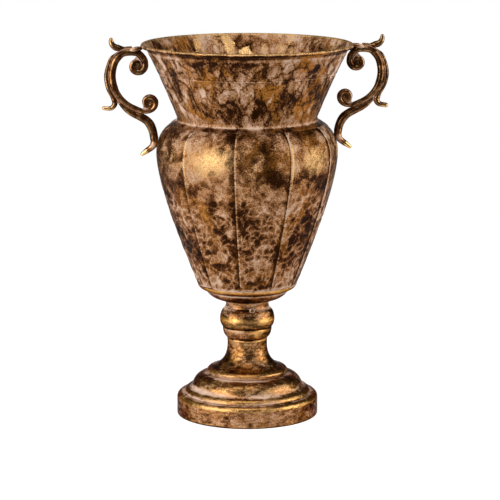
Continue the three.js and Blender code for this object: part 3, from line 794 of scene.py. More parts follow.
def drift(seed, across, along, size, wave, loop=None):
    """Places on the sheet after a slow wandering, which bends the edges of the hammer marks."""
    chance = np.random.default_rng(seed)
    moved = []
    for place in (across, along):
        stray = np.zeros(across.shape)
        for _ in range(DRIFT_WAVES):
            heading, phase = chance.uniform(0, 2 * math.pi, 2)
            pitch = wave * chance.uniform(0.6, 1.6)
            turns = math.cos(heading) / pitch
            if loop is not None:
                turns = round(turns * loop) / loop
            stray += np.sin(2 * math.pi * (across * turns + along * math.sin(heading) / pitch) + phase)
        moved.append(place + size * stray / math.sqrt(DRIFT_WAVES))
    return moved


def hammered(across, along, pattern, reach, loop=None):
    """Depth of the deepest blow at each place, the ridges between blows, and each blow's chance value."""
    places, sizes, depths, chances = pattern
    side = across.ravel()[:, None] - places[None, :, 0]
    if loop is not None:
        side = (side + loop / 2) % loop - loop / 2
    up = along.ravel()[:, None] - places[None, :, 1]
    spread = (side / reach[0]) ** 2 + (up / reach[1]) ** 2
    level = depths * (spread / sizes ** 2 - 1)
    two = np.partition(level, 1, axis=1)[:, :2]
    dent = np.clip(-two[:, 0], 0, 1).reshape(across.shape)
    ridge = np.exp(-(two[:, 1] - two[:, 0]) / RIDGE_SPREAD).reshape(across.shape)
    facet = chances[level.argmin(axis=1)].reshape(across.shape)
    return dent, ridge, facet


# Bowl panels

SIDE_CURVE = [
    at(BOWL_FOOT_RADIUS, BOWL_FOOT),
    at(between(BOWL_FOOT_RADIUS, BOWL_RADIUS, 0.62), BOWL_FOOT + 0.47 * BOWL_HEIGHT),
    at(BOWL_RADIUS, BOWL_FOOT + 0.82 * BOWL_HEIGHT),
    at(BOWL_RADIUS, BOWL_WIDEST),
]
SHOULDER_CURVE = [
    at(BOWL_RADIUS, BOWL_WIDEST),
    at(BOWL_RADIUS, BOWL_WIDEST + 0.42 * SHOULDER_HEIGHT),
    at(between(SHOULDER_TOP_RADIUS, BOWL_RADIUS, 0.72), BOWL_WIDEST + 0.82 * SHOULDER_HEIGHT),
    at(SHOULDER_TOP_RADIUS, SHOULDER_TOP),
]


def seam_stand(share, off_middle):
    """How far a panel stands outside the circle of its middle, by its share of the rise."""
    return SEAM_STAND * np.sqrt(np.sin(np.pi * np.clip(share, 0, 1))) * off_middle ** 2


def off_panel_middle(azimuth):
    """The way from the nearest panel's middle, one at its seams."""
    return 2 * ((np.degrees(azimuth) - SEAM_TURN) / PANEL_PITCH % 1) - 1


SIDE_ROWS = 118
SHOULDER_ROWS = 34
PANEL_MERIDIAN = np.vstack([bend(SIDE_CURVE, SIDE_ROWS), bend(SHOULDER_CURVE, SHOULDER_ROWS)[1:]])
PANEL_RISE = np.concatenate([
    np.linspace(0, SIDE_SHARE, SIDE_ROWS + 1),
    np.linspace(SIDE_SHARE, 1, SHOULDER_ROWS + 1)[1:],
])
PANEL_RUN = np.concatenate([[0], np.cumsum(np.linalg.norm(np.diff(PANEL_MERIDIAN, axis=0), axis=1))])
SEAM_COLUMNS = np.array([0, 0.45, 1.0, 1.7, 2.7])
MIDDLE_COLUMNS = 36
BOWL_BLOW = 7.6
BOWL_BLOW_DEPTH = 0.8
BOWL_BLOW_STRAY = 0.3
# How far the places of hammer marks wander, and over what length
BOWL_DRIFT = (1.6, 20)
SEAM_GRIP = 0.1
LAP_WIDTH = 9.0
LAP_DEPTH = 1.1
DART_WIDTH = 6.0
DART_RUN = 15.0
DART_STAND = 0.5
PANEL_SEED = 100
PANEL_DRIFT_SEED = 130
# How far each panel's edge and face are rubbed to gold, partly as painted highlights, from the front right
# one on
EDGE_RUBS_AND_HIGHLIGHTS = (0.1, 0.95, 0.35, 0.6, 0.5, 0.4, 0.6, 0.5, 0.4, 0.7)
FACE_RUBS_AND_HIGHLIGHTS = (0.4, 0.62, 0.35, 0.5, 0.35, 0.45, 0.6, 0.4, 0.4, 0.8)
# Soft places on the bowl: turn, level, reach across and up, and lean
# A painted dark reflection on the front right panel, where ridge lines and gold are taken away too.
DARK_REFLECTION_PLACE = (14, 278, (23, 36), -0.25)
DARK_REFLECTION_SHADE = 0.72
BROWN_PLACE = (-24, 188, (46, 54))
BROWN_SHADE = 0.42
ORANGE_PLACE = (-31, 224, (11, 24), -0.25)
ORANGE_STAIN = 0.75
# The gilt place of each panel, partly rubbed gold and partly a painted highlight, from its middle and the
# bowl's widest level
GILT_AND_HIGHLIGHT_PLACE = (2, 1, (42, 27), 0.3)


def soft_spot(azimuth, height, turn, level, reach, lean=0.0):
    """A soft oval place on the bowl, leaning so many millimetres per millimetre of rise."""
    sideways = np.radians(off_turn(azimuth, turn)) * BOWL_RADIUS - lean * (height - level)
    return falloff(np.hypot(sideways / reach[0], (height - level) / reach[1]), 1)


def sheet_faces(rows, columns):
    """Faces of a sheet whose columns run over its outer face and back over its inner one."""
    faces = grid_faces(rows, columns, False).tolist()
    for column in range(columns // 2 - 1):
        for start in (0, (rows - 1) * columns):
            end = start + columns - 1
            faces.append([start + column, start + column + 1, end - column - 1, end - column])
    return faces


def panel_layout(middle_turn):
    """A panel's places in millimetres across it, and its widths, azimuths and radii."""
    radius = PANEL_MERIDIAN[:, :1]
    half_turn = np.radians(PANEL_PITCH / 2) + SEAM_GRIP / radius
    width = 2 * half_turn * radius
    seam = SEAM_COLUMNS[-1]
    middle = seam + np.linspace(0, 1, MIDDLE_COLUMNS + 2)[1:-1] * (width - 2 * seam)
    edge = np.repeat(SEAM_COLUMNS[None], len(radius), axis=0)
    across = np.hstack([edge, middle, width - edge[:, ::-1]])
    turn = across / radius - half_turn
    base = radius + seam_stand(PANEL_RISE[:, None], turn / math.radians(PANEL_PITCH / 2))
    return across, width, math.radians(middle_turn) + turn, base


def panel_blows(number, across, along, width):
    """A panel's hammer marks and their force, which fades at the seams and towards the shoulder."""
    widest = width.max()
    pattern = blow_pattern(
        PANEL_SEED + number, widest, PANEL_RUN[-1], BOWL_BLOW, BOWL_BLOW, BOWL_BLOW_STRAY)
    placed = drift(PANEL_DRIFT_SEED + number, across + (widest - width) / 2, along, *BOWL_DRIFT)
    dent, ridge, facet = hammered(*placed, pattern, (BOWL_BLOW * BLOW_REACH,) * 2)
    force = 0.1 + 0.9 * rise(PANEL_MERIDIAN[:, 1:], BOWL_WIDEST - 12, BOWL_WIDEST - 62)
    return dent, ridge, facet, force * rise(np.minimum(across, width - across), 0.6, 3.5)


def make_panel(number):
    """One folded panel: smooth at the shoulder, hammered below, and dipping under the next at its seam."""
    height = PANEL_MERIDIAN[:, 1:]
    normal = right_of(PANEL_MERIDIAN)
    middle_turn = SEAM_TURN + (number + 0.5) * PANEL_PITCH
    across, width, azimuth, base = panel_layout(middle_turn)
    to_next = width - across
    along = np.repeat(PANEL_RUN[:, None], across.shape[1], axis=1)
    dent, ridge, facet, force = panel_blows(number, across, along, width)
    dart_edge = DART_WIDTH * np.clip(1 + (along - PANEL_RUN[-1]) / DART_RUN, 0, 1)
    dart = rise(dart_edge - across, -0.4, 0.5) * rise(dart_edge, 0.3, 1.2)
    dip = LAP_DEPTH * falloff(to_next, LAP_WIDTH) ** 2 + 0.7 * falloff(across, 1.2)
    inward = BOWL_BLOW_DEPTH * force * (dent - MEAN_DENT) + dip - DART_STAND * dart

    def face(depth):
        return on_circle(base - normal[:, :1] * depth, azimuth, height - normal[:, 1:] * depth)

    outer, inner = face(inward), face(inward + SHEET)
    grid = np.concatenate([outer, inner[:, ::-1]], axis=1)

    beaded = 0.6 + 0.4 * np.sin(1.9 * along + 3 * np.sin(0.37 * along))
    seam_line = falloff(across - 1.0, 1.3) * beaded
    dart_line = falloff(across - dart_edge - 0.5, 1.0) * rise(dart_edge, 0.4, 1.2)
    # Where each panel dips under the next: unrubbed patina with painted shade in the lap's recess.
    lap_shade = 0.55 * falloff(to_next, 8) + 0.5 * falloff(to_next, 1.2)
    seam_shade = np.maximum(falloff(across, 0.5), lap_shade)
    smooth_part = rise(height, BOWL_WIDEST - 42, BOWL_WIDEST - 4)
    upper = smooth_part * rise(height, SHOULDER_TOP - 5, SHOULDER_TOP - 18)
    # Gold along each panel's raised left edge: partly rubbed wear, partly a painted highlight.
    edge_rub_and_highlight = EDGE_RUBS_AND_HIGHLIGHTS[number] * falloff(across - 2.6, 2.4) * upper
    smudge = soft_spot(azimuth, height, *DARK_REFLECTION_PLACE)
    brown = soft_spot(azimuth, height, *BROWN_PLACE)
    place_turn, place_rise, *place_spread = GILT_AND_HIGHLIGHT_PLACE
    gilt_and_highlight = soft_spot(azimuth, height, middle_turn + place_turn, BOWL_WIDEST + place_rise, *place_spread)
    gilt_and_highlight = FACE_RUBS_AND_HIGHLIGHTS[number] * gilt_and_highlight
    outside = {
        "groove": np.maximum(groove_at(base, height), np.maximum(seam_line, 0.9 * dart_line)),
        "hollow": dent * force,
        "ridge": ridge ** 1.5 * force + 0.28 * smooth_part * (1 - smudge),
        "facet": facet * (1 - ridge) * force,
        # Painted dark reflection on the front right panel; the brown place is patina.
        "shade": seam_shade + DARK_REFLECTION_SHADE * smudge + BROWN_SHADE * brown,
        "rub_and_highlight": np.maximum(np.maximum(gilt_and_highlight, 0.2 * upper) * (1 - smudge), edge_rub_and_highlight),
        "stain": ORANGE_STAIN * soft_spot(azimuth, height, *ORANGE_PLACE),
    }
    # The inner face: painted shade, with a little wash and gold.
    inside = {"groove": 0.1, "shade": 0.35, "rub_and_highlight": 0.1}
    marks = {
        mark: np.hstack([values, np.full_like(values, inside.get(mark, 0.0))])
        for mark, values in outside.items()
    }
    name = f"bowl_gore_{number + 1:02d}"
    node = f"bowl_panel_{number + 1:02d}"
    faces = sheet_faces(*grid.shape[:2])
    make_piece(name, grid, faces, BOWL_METAL, marks, node)


# Neck

HEM_CENTRE = at(WIRE_RING, RIM_LEVEL)
HEM_START = polar(HEM_CENTRE, HEM_INSIDE, 90 + NECK_LEAN)
NECK_CURVE = [
    at(WAIST_RADIUS, WAIST),
    at(between(WAIST_RADIUS, HEM_START[0], 0.21), WAIST + 0.27 * NECK_HEIGHT),
    polar(HEM_START, 0.19 * NECK_HEIGHT, 180 + NECK_LEAN),
    HEM_START,
]
NECK_COLUMNS = 420
NECK_SPACING = 1.2
NECK_MEAN_RADIUS = 88.0
NECK_BLOW = (8.0, 13.0)
NECK_BLOW_DEPTH = 1.0
NECK_BLOW_STRAY = 0.34
NECK_DRIFT = (2.0, 24)
NECK_STRAY = 0.25
NECK_SEED = 77
NECK_DRIFT_SEED = 78
NECK_WOBBLE_SEED = 9
FLANGE_EDGE = 0.35
# Pale lines round the neck: level, reach, fill and how patchy they are
NECK_LINES = (
    (NECK_SEAM, 1.5, 1.7, 1.0),
    (WAIST - 2.6, 1.2, 1.1, 0.3),
    (RIM_LEVEL - 6.5, 1.6, 0.5, 0.0),
)


def neck_wall(low, high):
    """The neck's outer face between two heights, from the top down."""
    wall = bend(NECK_CURVE, 400)[::-1]
    return evenly(wall[(wall[:, 1] >= low) & (wall[:, 1] <= high)], NECK_SPACING)


def make_neck_band(name, node, outer, inner, gilding_and_highlight_inside):
    """Spins a band from its outer and inner face lines, both drawn from the top down, and hammers it."""
    loop = np.vstack([outer, inner[::-1]])
    normals = np.vstack([right_of(outer), right_of(inner)[::-1]])
    azimuth = around(NECK_COLUMNS)[None]
    radius, height = loop[:, :1], loop[:, 1:]
    girth = 2 * math.pi * NECK_MEAN_RADIUS
    across = np.repeat(azimuth * NECK_MEAN_RADIUS, len(loop), axis=0)
    along = np.repeat(height - WAIST, NECK_COLUMNS, axis=1)
    pattern = blow_pattern(NECK_SEED, girth, NECK_HEIGHT, *NECK_BLOW, NECK_BLOW_STRAY)
    reach = (NECK_BLOW[0] * BLOW_REACH, NECK_BLOW[1] * BLOW_REACH)
    placed = drift(NECK_DRIFT_SEED, across, along, *NECK_DRIFT, girth)
    dent, ridge, facet = hammered(*placed, pattern, reach, girth)
    force = rise(height, WAIST + 2, WAIST + 9) * rise(height, RIM_LEVEL - 2.5, RIM_LEVEL - 9)
    depth = NECK_BLOW_DEPTH * force * (dent - MEAN_DENT)
    off_middle = off_panel_middle(azimuth)
    stand = seam_stand(np.interp(height, PANEL_MERIDIAN[:, 1], PANEL_RISE), off_middle)
    stray = hand_wobble(NECK_WOBBLE_SEED, azimuth, height, NECK_STRAY)
    stray = stray * rise(height, SHOULDER_TOP, WAIST + 10)
    points = on_circle(
        radius + normals[:, :1] * depth + stray + stand, azimuth, height + normals[:, 1:] * depth)

    is_outer = (np.arange(len(loop)) < len(outer))[:, None]
    bead = falloff(np.hypot(radius - WIRE_RING, height - RIM_LEVEL) - HEM_INSIDE - SHEET, 0.7)
    patchy = 0.55 + 0.45 * np.sin(3 * azimuth + 1) * np.cos(7 * azimuth)
    lines = groove_at(radius, height)
    for level, reach_up, fill, share in NECK_LINES:
        lines = np.maximum(lines, fill * falloff(height - level, reach_up) * between(1, patchy, share))
    from_seam = (1 - np.abs(off_middle)) * math.radians(PANEL_PITCH / 2) * radius
    seam_shade = falloff(from_seam, 0.9) * rise(height, WAIST - 1.5, WAIST - 2.5)
    # A painted shadow in a line under the rolled rim, painted shade on the bead's underside, and gold on
    # its top that is partly rubbed and partly a painted highlight.
    painted_shadow_under_bead = 0.9 * falloff(height - RIM_LEVEL + 3.4, 1.5)
    collar_shade = 0.2 * rise(height, WAIST + 10, WAIST + 3) + 0.35 * rise(height, WAIST - 3.4, WAIST - 5)
    painted_bead_underside_shade = 0.9 * bead * rise(height, RIM_LEVEL + 0.4, RIM_LEVEL - 0.6)
    bead_rub_and_highlight = 0.95 * bead * rise(height, RIM_LEVEL, RIM_LEVEL + 1)
    # Gold on the inside, heaviest on the back wall that faces the front: partly gilding, partly a painted
    # highlight.
    gilding_and_highlight = gilding_and_highlight_inside * (0.4 + 0.6 * falloff(off_turn(azimuth, 180), 62)) * (0.6 + 0.7 * facet)
    inside_rub_and_highlight = (gilding_and_highlight + 0.35 * facet * force) * (1 - bead)
    calm = np.where(is_outer, 1, 0.6)
    flat = np.zeros_like(dent)
    marks = {
        "groove": np.where(is_outer, lines, flat),
        "ridge": ridge ** 1.4 * force * calm,
        "facet": facet * (1 - ridge) * force * calm,
        "shade": np.where(is_outer, np.maximum(seam_shade, painted_shadow_under_bead) + collar_shade, painted_bead_underside_shade),
        "rub_and_highlight": np.where(is_outer, flat, inside_rub_and_highlight + bead_rub_and_highlight),
    }
    faces = grid_faces(len(loop), NECK_COLUMNS, True)
    make_piece(name, points, faces, NECK_METAL, marks, node)


def make_neck():
    flare_wall = neck_wall(NECK_SEAM + SEAT, RIM_LEVEL)
    roll_end = 90 + NECK_LEAN
    roll_inside = arc(HEM_CENTRE, HEM_INSIDE, roll_end - HEM_WRAP, roll_end, 9)
    roll_outside = arc(HEM_CENTRE, HEM_INSIDE + SHEET, roll_end - HEM_WRAP, roll_end, 22)
    flare_inside = flare_wall + right_of(flare_wall) * SHEET
    make_neck_band(
        "neck_flare", "neck_upper_band", np.vstack([roll_inside, flare_wall[1:]]),
        np.vstack([roll_outside, flare_inside[1:]]), gilding_and_highlight_inside=0.76)

    throat = neck_wall(WAIST, NECK_SEAM - NECK_JOG)
    lap = neck_wall(NECK_SEAM, NECK_SEAM + NECK_LAP)[::2]
    tongue = lap + right_of(lap) * (SHEET + SEAT)
    shoulder = bend(SHOULDER_CURVE, 60)[::-1]
    run = np.cumsum(np.linalg.norm(np.diff(shoulder, axis=0), axis=1))
    laid = evenly(shoulder[: np.searchsorted(run, FLANGE_WIDTH) + 2], 0.8)
    outward = -right_of(laid)
    flange = laid + outward * (SEAT + np.linspace(SHEET, FLANGE_EDGE, len(laid))[:, None])
    fillet = bend([at(WAIST_RADIUS, WAIST), at(WAIST_RADIUS, flange[0][1] + SHEET), flange[0]], 6)
    wall = np.vstack([tongue, throat, fillet[1:-1]])
    make_neck_band(
        "neck_throat", "neck_lower_band", np.vstack([wall, flange]),
        np.vstack([thickened(wall, SHEET), laid + outward * SEAT]), gilding_and_highlight_inside=0.4)


# Handles

BAR_HALF = 3.8
BRANCH_HALF = 2.5
LEAF_HALF = 2.45
TOP_LEAF_HALF = 1.4
HORN_HALF = 3.5
HORN_RADIUS = 7.8
HORN_TIP = 2.6
ANKLE_HALF = 4.1
HEEL_RADIUS = 8.0
HEEL_BITE = 1.4
HEEL_SPUR = 11.5
HEEL_HEADING = -36
HEEL_STEP = 0.01
DEPTH_RATIO = 1.08
JOIN_BITE = 0.5
BAR_SIDES = 20
BAR_STEPS = 7
BAR_STRAY = 0.022
HANDLE_SEED = 300
LUMP_SEED = 320
TOP_EYE = at(3.1, -19)
TOP_VOLUTE = (6.6, 13.4)
TOP_TURNS = (470, 86)
BOW_CENTRE = at(12.8, -29)
BOW_REACH = 16.4
BOW_RISE = 23.8
BOW_DEGREES = (80, 55, 30, 0)
BOW_FALL = 22.0
BOW_FALL_SHARES = (0.2, 0.4, 0.6, 0.8)
BRANCH_PULL = 16.0
BRANCH_RISE = 14.0
LOW_EYE = at(-8.8, -56.5)
LOW_VOLUTE = (5.8, 10.4)
LOW_TURNS = (-130, 300)
VOLUTE_STEPS = 10
BOW_KNOT = VOLUTE_STEPS + 1
# Knots past the bow's start, and shares of the half width, where a leaf and a leg lie on the scroll
LEAF_SWELL = ((0.5, 0.12), (1.1, 0.4), (1.8, 0.75), (3, 1), (3.9, 1))
LEG_SWELL = (
    (4.3, 0.1), (4.9, 0.2), (5.4, 0.34), (5.7, 0.46), (6.1, 0.6), (6.6, 0.73), (7.2, 0.82), (7.7, 0.88))
# Webs of solder in the volutes: eye, radius and the turn of the volute's mouth
WEBS = ((TOP_EYE, 7.6, 105), (LOW_EYE, 6.9, -62))
WEB_FLOW = 0.5
WEB_RINGS = ((0.2, 0.5), (0.6, 0.9), (1, 1.6), (1, -1.6), (0.6, -0.9), (0.2, -0.5))
RIM_STUD_RADIUS = 1.6
LUMP_SHIFT = -2.0
LUMP_KNOTS = ((0, 0.9, 2.0), (0.4, 1.6, 2.6), (0.8, 2.6, 2.5), (1.1, 3.4, 1.3))
STUD_SIDES = 24
PRESS_GAP = 0.15
WASH_REACH = 1.9
HEEL_FILL = at(1, -4)
HEEL_FILL_REACH = 9
TIP_REACH = 11
TIP_RUBS = {"top_leaf": 0.35, "outer_leaf": 0.7, "leg": 0.95}
RIVET_LINE = ((-5, 2), (0, 2), (0, 4.5), (0.6, 4.35), (1.3, 3.5), (1.8, 2), (1.98, 0.6))
# A leaf's spur: the knot where it leaves the bow, its reach, its curl's radius, last heading and swelling
HANDLES = (
    dict(side="left", turn=-90, drop=2.1, grow=1.02, heel_share=0.22, leg_half=4.8,
         spur=(4.6, 4.5, 6.5, 5, 1.3)),
    dict(side="right", turn=90, drop=-1.5, grow=0.97, heel_share=0.44, leg_half=4.7,
         spur=(4.8, 5.2, 5.6, -10, 1.5)),
)


class Bar:
    """A bent bar: knots in an upright plane, each with its half width."""

    def __init__(self, knots):
        self.points = np.array([point for point, _ in knots])
        self.halves = np.array([half for _, half in knots])

    def middle(self, places):
        """Points on a smooth curve through the knots, at places counted in knots."""
        places = np.atleast_1d(np.asarray(places, float))
        last = len(self.points) - 1
        knot = np.clip(np.floor(places).astype(int), 0, last - 1)
        share = (places - knot)[:, None]
        before, start, end, after = (
            self.points[np.clip(knot + step, 0, last)] for step in (-1, 0, 1, 2))
        pull, push = (end - before) / 2, (after - start) / 2
        cubic = 2 * start - 2 * end + pull + push
        square = -3 * start + 3 * end - 2 * pull - push
        return ((cubic * share + square) * share + pull) * share + start

    def half(self, places):
        return np.interp(places, np.arange(len(self.halves)), self.halves)

    def outer_side(self, places):
        """Unit directions to the bar's outer side."""
        places = np.atleast_1d(np.asarray(places, float))
        step = 1e-3
        last = len(self.points) - 1
        along = self.middle(np.minimum(places + step, last)) - self.middle(np.maximum(places - step, 0))
        along /= np.linalg.norm(along, axis=1, keepdims=True)
        return np.column_stack([-along[:, 1], along[:, 0]])

    def alongside(self, place, half):
        """A knot for another bar that is soldered along this one's outer side."""
        distance = self.half(place) + half - JOIN_BITE
        return self.middle(place)[0] + self.outer_side(place)[0] * distance, half


def arc_on(start, heading, radius, turn, steps):
    """Continues from a point along an arc that turns by so many degrees."""
    side = math.copysign(90, turn)
    centre = polar(start, radius, heading + side)
    headings = heading - side + np.linspace(0, turn, steps + 1)[1:]
    return [polar(centre, radius, degrees) for degrees in headings]


def heading_of(start, end):
    return math.degrees(math.atan2(end[1] - start[1], end[0] - start[0]))


def volute_spread(middle, outer, share):
    return middle * (1 - 0.55 * (1 - share) ** 4) + (outer - middle) * share ** 8


def scroll_bar(origin, grow):
    """A top volute, a bow that thins where the leg leaves it, and a low volute."""
    knots = []
    for share in np.linspace(0, 1, VOLUTE_STEPS + 1):
        point = polar(TOP_EYE, volute_spread(*TOP_VOLUTE, share), between(*TOP_TURNS, share))
        knots.append((point, BAR_HALF * (0.97 - 0.34 * (1 - share) ** 2)))
    for degrees in BOW_DEGREES:
        turn = math.radians(degrees)
        knots.append((BOW_CENTRE + at(BOW_REACH * math.cos(turn), BOW_RISE * math.sin(turn)), BAR_HALF))
    low_volute = []
    for share in np.linspace(1, 0, VOLUTE_STEPS + 1):
        point = polar(LOW_EYE, volute_spread(*LOW_VOLUTE, share), between(*LOW_TURNS, share))
        swell = 1 + 0.22 * rise(share, 1, 0.6) - 0.3 * (1 - share) ** 3
        low_volute.append((point, BRANCH_HALF * swell))
    bow_side, branch_end = knots[-1][0], low_volute[0][0]
    fall = [bow_side, bow_side - at(0, BOW_FALL),
            polar(branch_end, BRANCH_PULL, BRANCH_RISE), branch_end]
    for share, point in zip(BOW_FALL_SHARES, bezier(fall, BOW_FALL_SHARES)):
        knots.append((point, between(BAR_HALF, BRANCH_HALF, float(rise(share, 0.15, 0.6)))))
    return Bar([(origin + point * grow, half * grow) for point, half in knots + low_volute])


def top_leaf_bar(scroll):
    """A leaf that lies on the scroll and ends in an upturned horn."""
    flat = [scroll.alongside(BOW_KNOT + step, TOP_LEAF_HALF) for step in (-0.5, -0.25, 0)]
    root = scroll.alongside(BOW_KNOT + 0.42, HORN_HALF)
    curl = arc_on(root[0], 0, HORN_RADIUS, 78, 3)
    horn = [(point, HORN_HALF * (1 - 0.11 * i)) for i, point in enumerate(curl)]
    tip = (polar(curl[-1], HORN_TIP, 88), HORN_HALF * 0.55)
    return Bar([*flat, root, *horn, tip])


def outer_leaf_bar(scroll, leave, reach, radius, tip_heading, swelling):
    """A leaf that swells along the bow, leaves it at a place in knots and curls out into a spur."""
    swell = (*LEAF_SWELL, (leave, 1.05))
    laid = [scroll.alongside(BOW_KNOT + step, LEAF_HALF * share) for step, share in swell]
    heading = heading_of(laid[-2][0], laid[-1][0])
    root = polar(laid[-1][0], reach, heading)
    curl = arc_on(root, heading, radius, tip_heading - heading, 4)
    spur = [root, *curl, polar(curl[-1], reach, tip_heading)]
    thinning = [(point, LEAF_HALF * (swelling - 0.1 * i)) for i, point in enumerate(spur)]
    return Bar([*laid, *thinning])


def leg_bar(scroll, heel, leg_half):
    """A leg that leaves the bow's outer side, falls to its heel on the shoulder and ends in a spur."""
    laid = [scroll.alongside(BOW_KNOT + step, leg_half * share) for step, share in LEG_SWELL]
    start = laid[-1][0]
    drop = np.linalg.norm(heel - start)
    leaving = polar(start, 0.34 * drop, heading_of(laid[-2][0], start))
    shares = np.array([0.3, 0.55, 0.8, 1])
    path = bezier([start, leaving, polar(heel, 0.48 * drop, 88), heel], shares)
    falling = [(point, between(leg_half, ANKLE_HALF, share ** 2)) for point, share in zip(path, shares)]
    turn = arc_on(heel, -90, HEEL_RADIUS, 90 + HEEL_HEADING, 2)
    curl = [(point, ANKLE_HALF * (0.9 - 0.09 * i)) for i, point in enumerate(turn)]
    spur = [(polar(turn[-1], HEEL_SPUR * share, HEEL_HEADING), ANKLE_HALF * half)
            for share, half in ((0.5, 0.72), (1, 0.48))]
    return Bar([*laid, *falling, *curl, *spur])


ROUND_END = np.sin(np.radians([80, 64, 46, 30, 14]))


def bar_rings(bar, seed):
    """Rings of points along a bar with rounded ends, in the handle's own plane."""
    last = len(bar.points) - 1
    places = np.linspace(0, last, BAR_STEPS * last + 1)
    middle, half, side = bar.middle(places), bar.half(places), bar.outer_side(places)
    chance = np.random.default_rng(seed)
    marks = np.linspace(0, last, 2 * last + 1)
    half = half * (1 + np.interp(places, marks, chance.normal(0, BAR_STRAY, len(marks))))
    forward = np.column_stack([side[:, 1], -side[:, 0]])
    reach = np.sqrt(1 - ROUND_END ** 2)
    before = [middle[0] - forward[0] * half[0] * s for s in ROUND_END]
    after = [middle[-1] + forward[-1] * half[-1] * s for s in ROUND_END[::-1]]
    middle = np.vstack([before, middle, after])
    half = np.concatenate([half[0] * reach, half, half[-1] * reach[::-1]])
    side = np.pad(side, ((len(ROUND_END),) * 2, (0, 0)), "edge")
    turn = around(BAR_SIDES)
    out = half[:, None] * np.cos(turn)
    return np.stack([
        middle[:, :1] + side[:, :1] * out,
        DEPTH_RATIO * half[:, None] * np.sin(turn),
        middle[:, 1:] + side[:, 1:] * out,
    ], axis=-1)


def make_web(eye, radius, mouth):
    """A dished web of solder that fills a volute, and the wash left at the volute's mouth."""
    turn = around(2 * BAR_SIDES)
    off_mouth = off_turn(turn, mouth)
    reach = radius * (1 + WEB_FLOW * falloff(off_mouth, 48))
    rings = np.stack([
        np.stack([eye[0] + reach * share * np.cos(turn), np.full_like(turn, depth),
                  eye[1] + reach * share * np.sin(turn)], axis=-1)
        for share, depth in WEB_RINGS
    ])
    wash = np.outer([rise(share, 0.1, 0.7) for share, _ in WEB_RINGS], falloff(off_mouth, 130))
    return closed_bar(rings), 1.2 * np.concatenate([wash.ravel(), [0, 0]])


def stud_rings(start, axis, line):
    """Rings about an axis: each entry of the line is a way along it and a radius."""
    axis = np.asarray(axis, float) / np.linalg.norm(axis)
    side = np.cross(axis, (0, 0, 1))
    side /= np.linalg.norm(side)
    up = np.cross(side, axis)
    turn = around(STUD_SIDES)[:, None]
    ring = side * np.cos(turn) + up * np.sin(turn)
    return np.stack([start + axis * way + ring * radius for way, radius in line])


def closed_bar(grid):
    """Points and faces of a bar whose end rings close on a point each."""
    rows, sides = grid.shape[:2]
    points = np.vstack([grid.reshape(-1, 3), grid[0].mean(0), grid[-1].mean(0)])
    faces = grid_faces(rows, sides, False).tolist()
    first, last = rows * sides, rows * sides + 1
    for side in range(sides):
        following = (side + 1) % sides
        faces.append([first, side, following])
        faces.append([last, (rows - 1) * sides + following, (rows - 1) * sides + side])
    return points, faces


def joined(*shapes):
    """Several closed shapes as the points and faces of one."""
    points, faces = [], []
    for shape_points, shape_faces in shapes:
        start = sum(map(len, points))
        points.append(shape_points)
        faces.extend([start + corner for corner in face] for face in shape_faces)
    return np.vstack(points), faces


def wall_radius(azimuth, height):
    """The bowl's outer radius at an azimuth in radians and a height."""
    radius = np.interp(height, PANEL_MERIDIAN[:, 1], PANEL_MERIDIAN[:, 0])
    share = np.interp(height, PANEL_MERIDIAN[:, 1], PANEL_RISE)
    return radius + seam_stand(share, off_panel_middle(azimuth))


def press_on_bowl(points, facing):
    """Flattens what would lie inside the bowl's wall against it."""
    azimuth = np.arctan2(points[:, 0], -points[:, 1]) + facing
    radius = np.hypot(points[:, 0], points[:, 1])
    wall = wall_radius(azimuth, points[:, 2]) + PRESS_GAP
    inside = (radius < wall) & (points[:, 2] < SHOULDER_TOP)
    scale = np.where(inside, wall / radius, 1)
    return points * np.column_stack([scale, scale, np.ones_like(scale)])


def closeness(points, others, reach):
    """One where a point touches the other points, easing to nothing at the reach."""
    tree = KDTree(len(others))
    for index, other in enumerate(others):
        tree.insert(Vector(other), index)
    tree.balance()
    distance = np.array([tree.find(Vector(point))[2] for point in points])
    return falloff(distance, reach)


def near_place(points, place, reach):
    """One at a place in the handle's plane, easing to nothing at the reach."""
    return falloff(np.hypot(points[:, 0] - place[0], points[:, 2] - place[1]), reach)


def turned(points, facing):
    """Turns points about the pot's axis."""
    cos, sin = math.cos(facing), math.sin(facing)
    x, y, z = np.asarray(points).T
    return np.column_stack([x * cos - y * sin, x * sin + y * cos, z])


def make_cast_piece(name, shape, facing, groove, rub_and_highlight, node):
    """A piece of a handle, turned to its side of the pot."""
    points, faces = shape
    marks = {"groove": groove * np.ones(len(points)), "rub_and_highlight": rub_and_highlight * np.ones(len(points))}
    make_piece(name, turned(points, facing), faces, CAST_METAL, marks, node)


def heel_seat(heel_share, turn):
    """Where a heel meets the bowl's wall, and the way through the wall."""
    here, further = bezier(SHOULDER_CURVE, [heel_share, heel_share + HEEL_STEP])
    share = SIDE_SHARE + (1 - SIDE_SHARE) * heel_share
    stand = seam_stand(share, off_panel_middle(math.radians(turn)))
    run = further - here
    return here + at(stand, 0), np.array([-run[1], 0, run[0]])


def make_rim_solder(side, turn, facing, scroll, leaf_start):
    """The lump of solder between the rim and a handle's top leaf."""
    level = scroll.alongside(BOW_KNOT - 0.5, RIM_STUD_RADIUS)[0][1]
    lump = Bar([(at(between(RIM_RADIUS, leaf_start, way), level - fall), half)
                for way, fall, half in LUMP_KNOTS])
    points, faces = closed_bar(bar_rings(lump, LUMP_SEED))
    points = points + np.array([0, LUMP_SHIFT * math.copysign(1, turn), 0])
    wiped = 0.85 * rise(points[:, 0], RIM_RADIUS, leaf_start - 1)
    make_cast_piece(f"{side}_rim_solder", (points, faces), facing, wiped, 0.0, f"{side}_rim_stud")


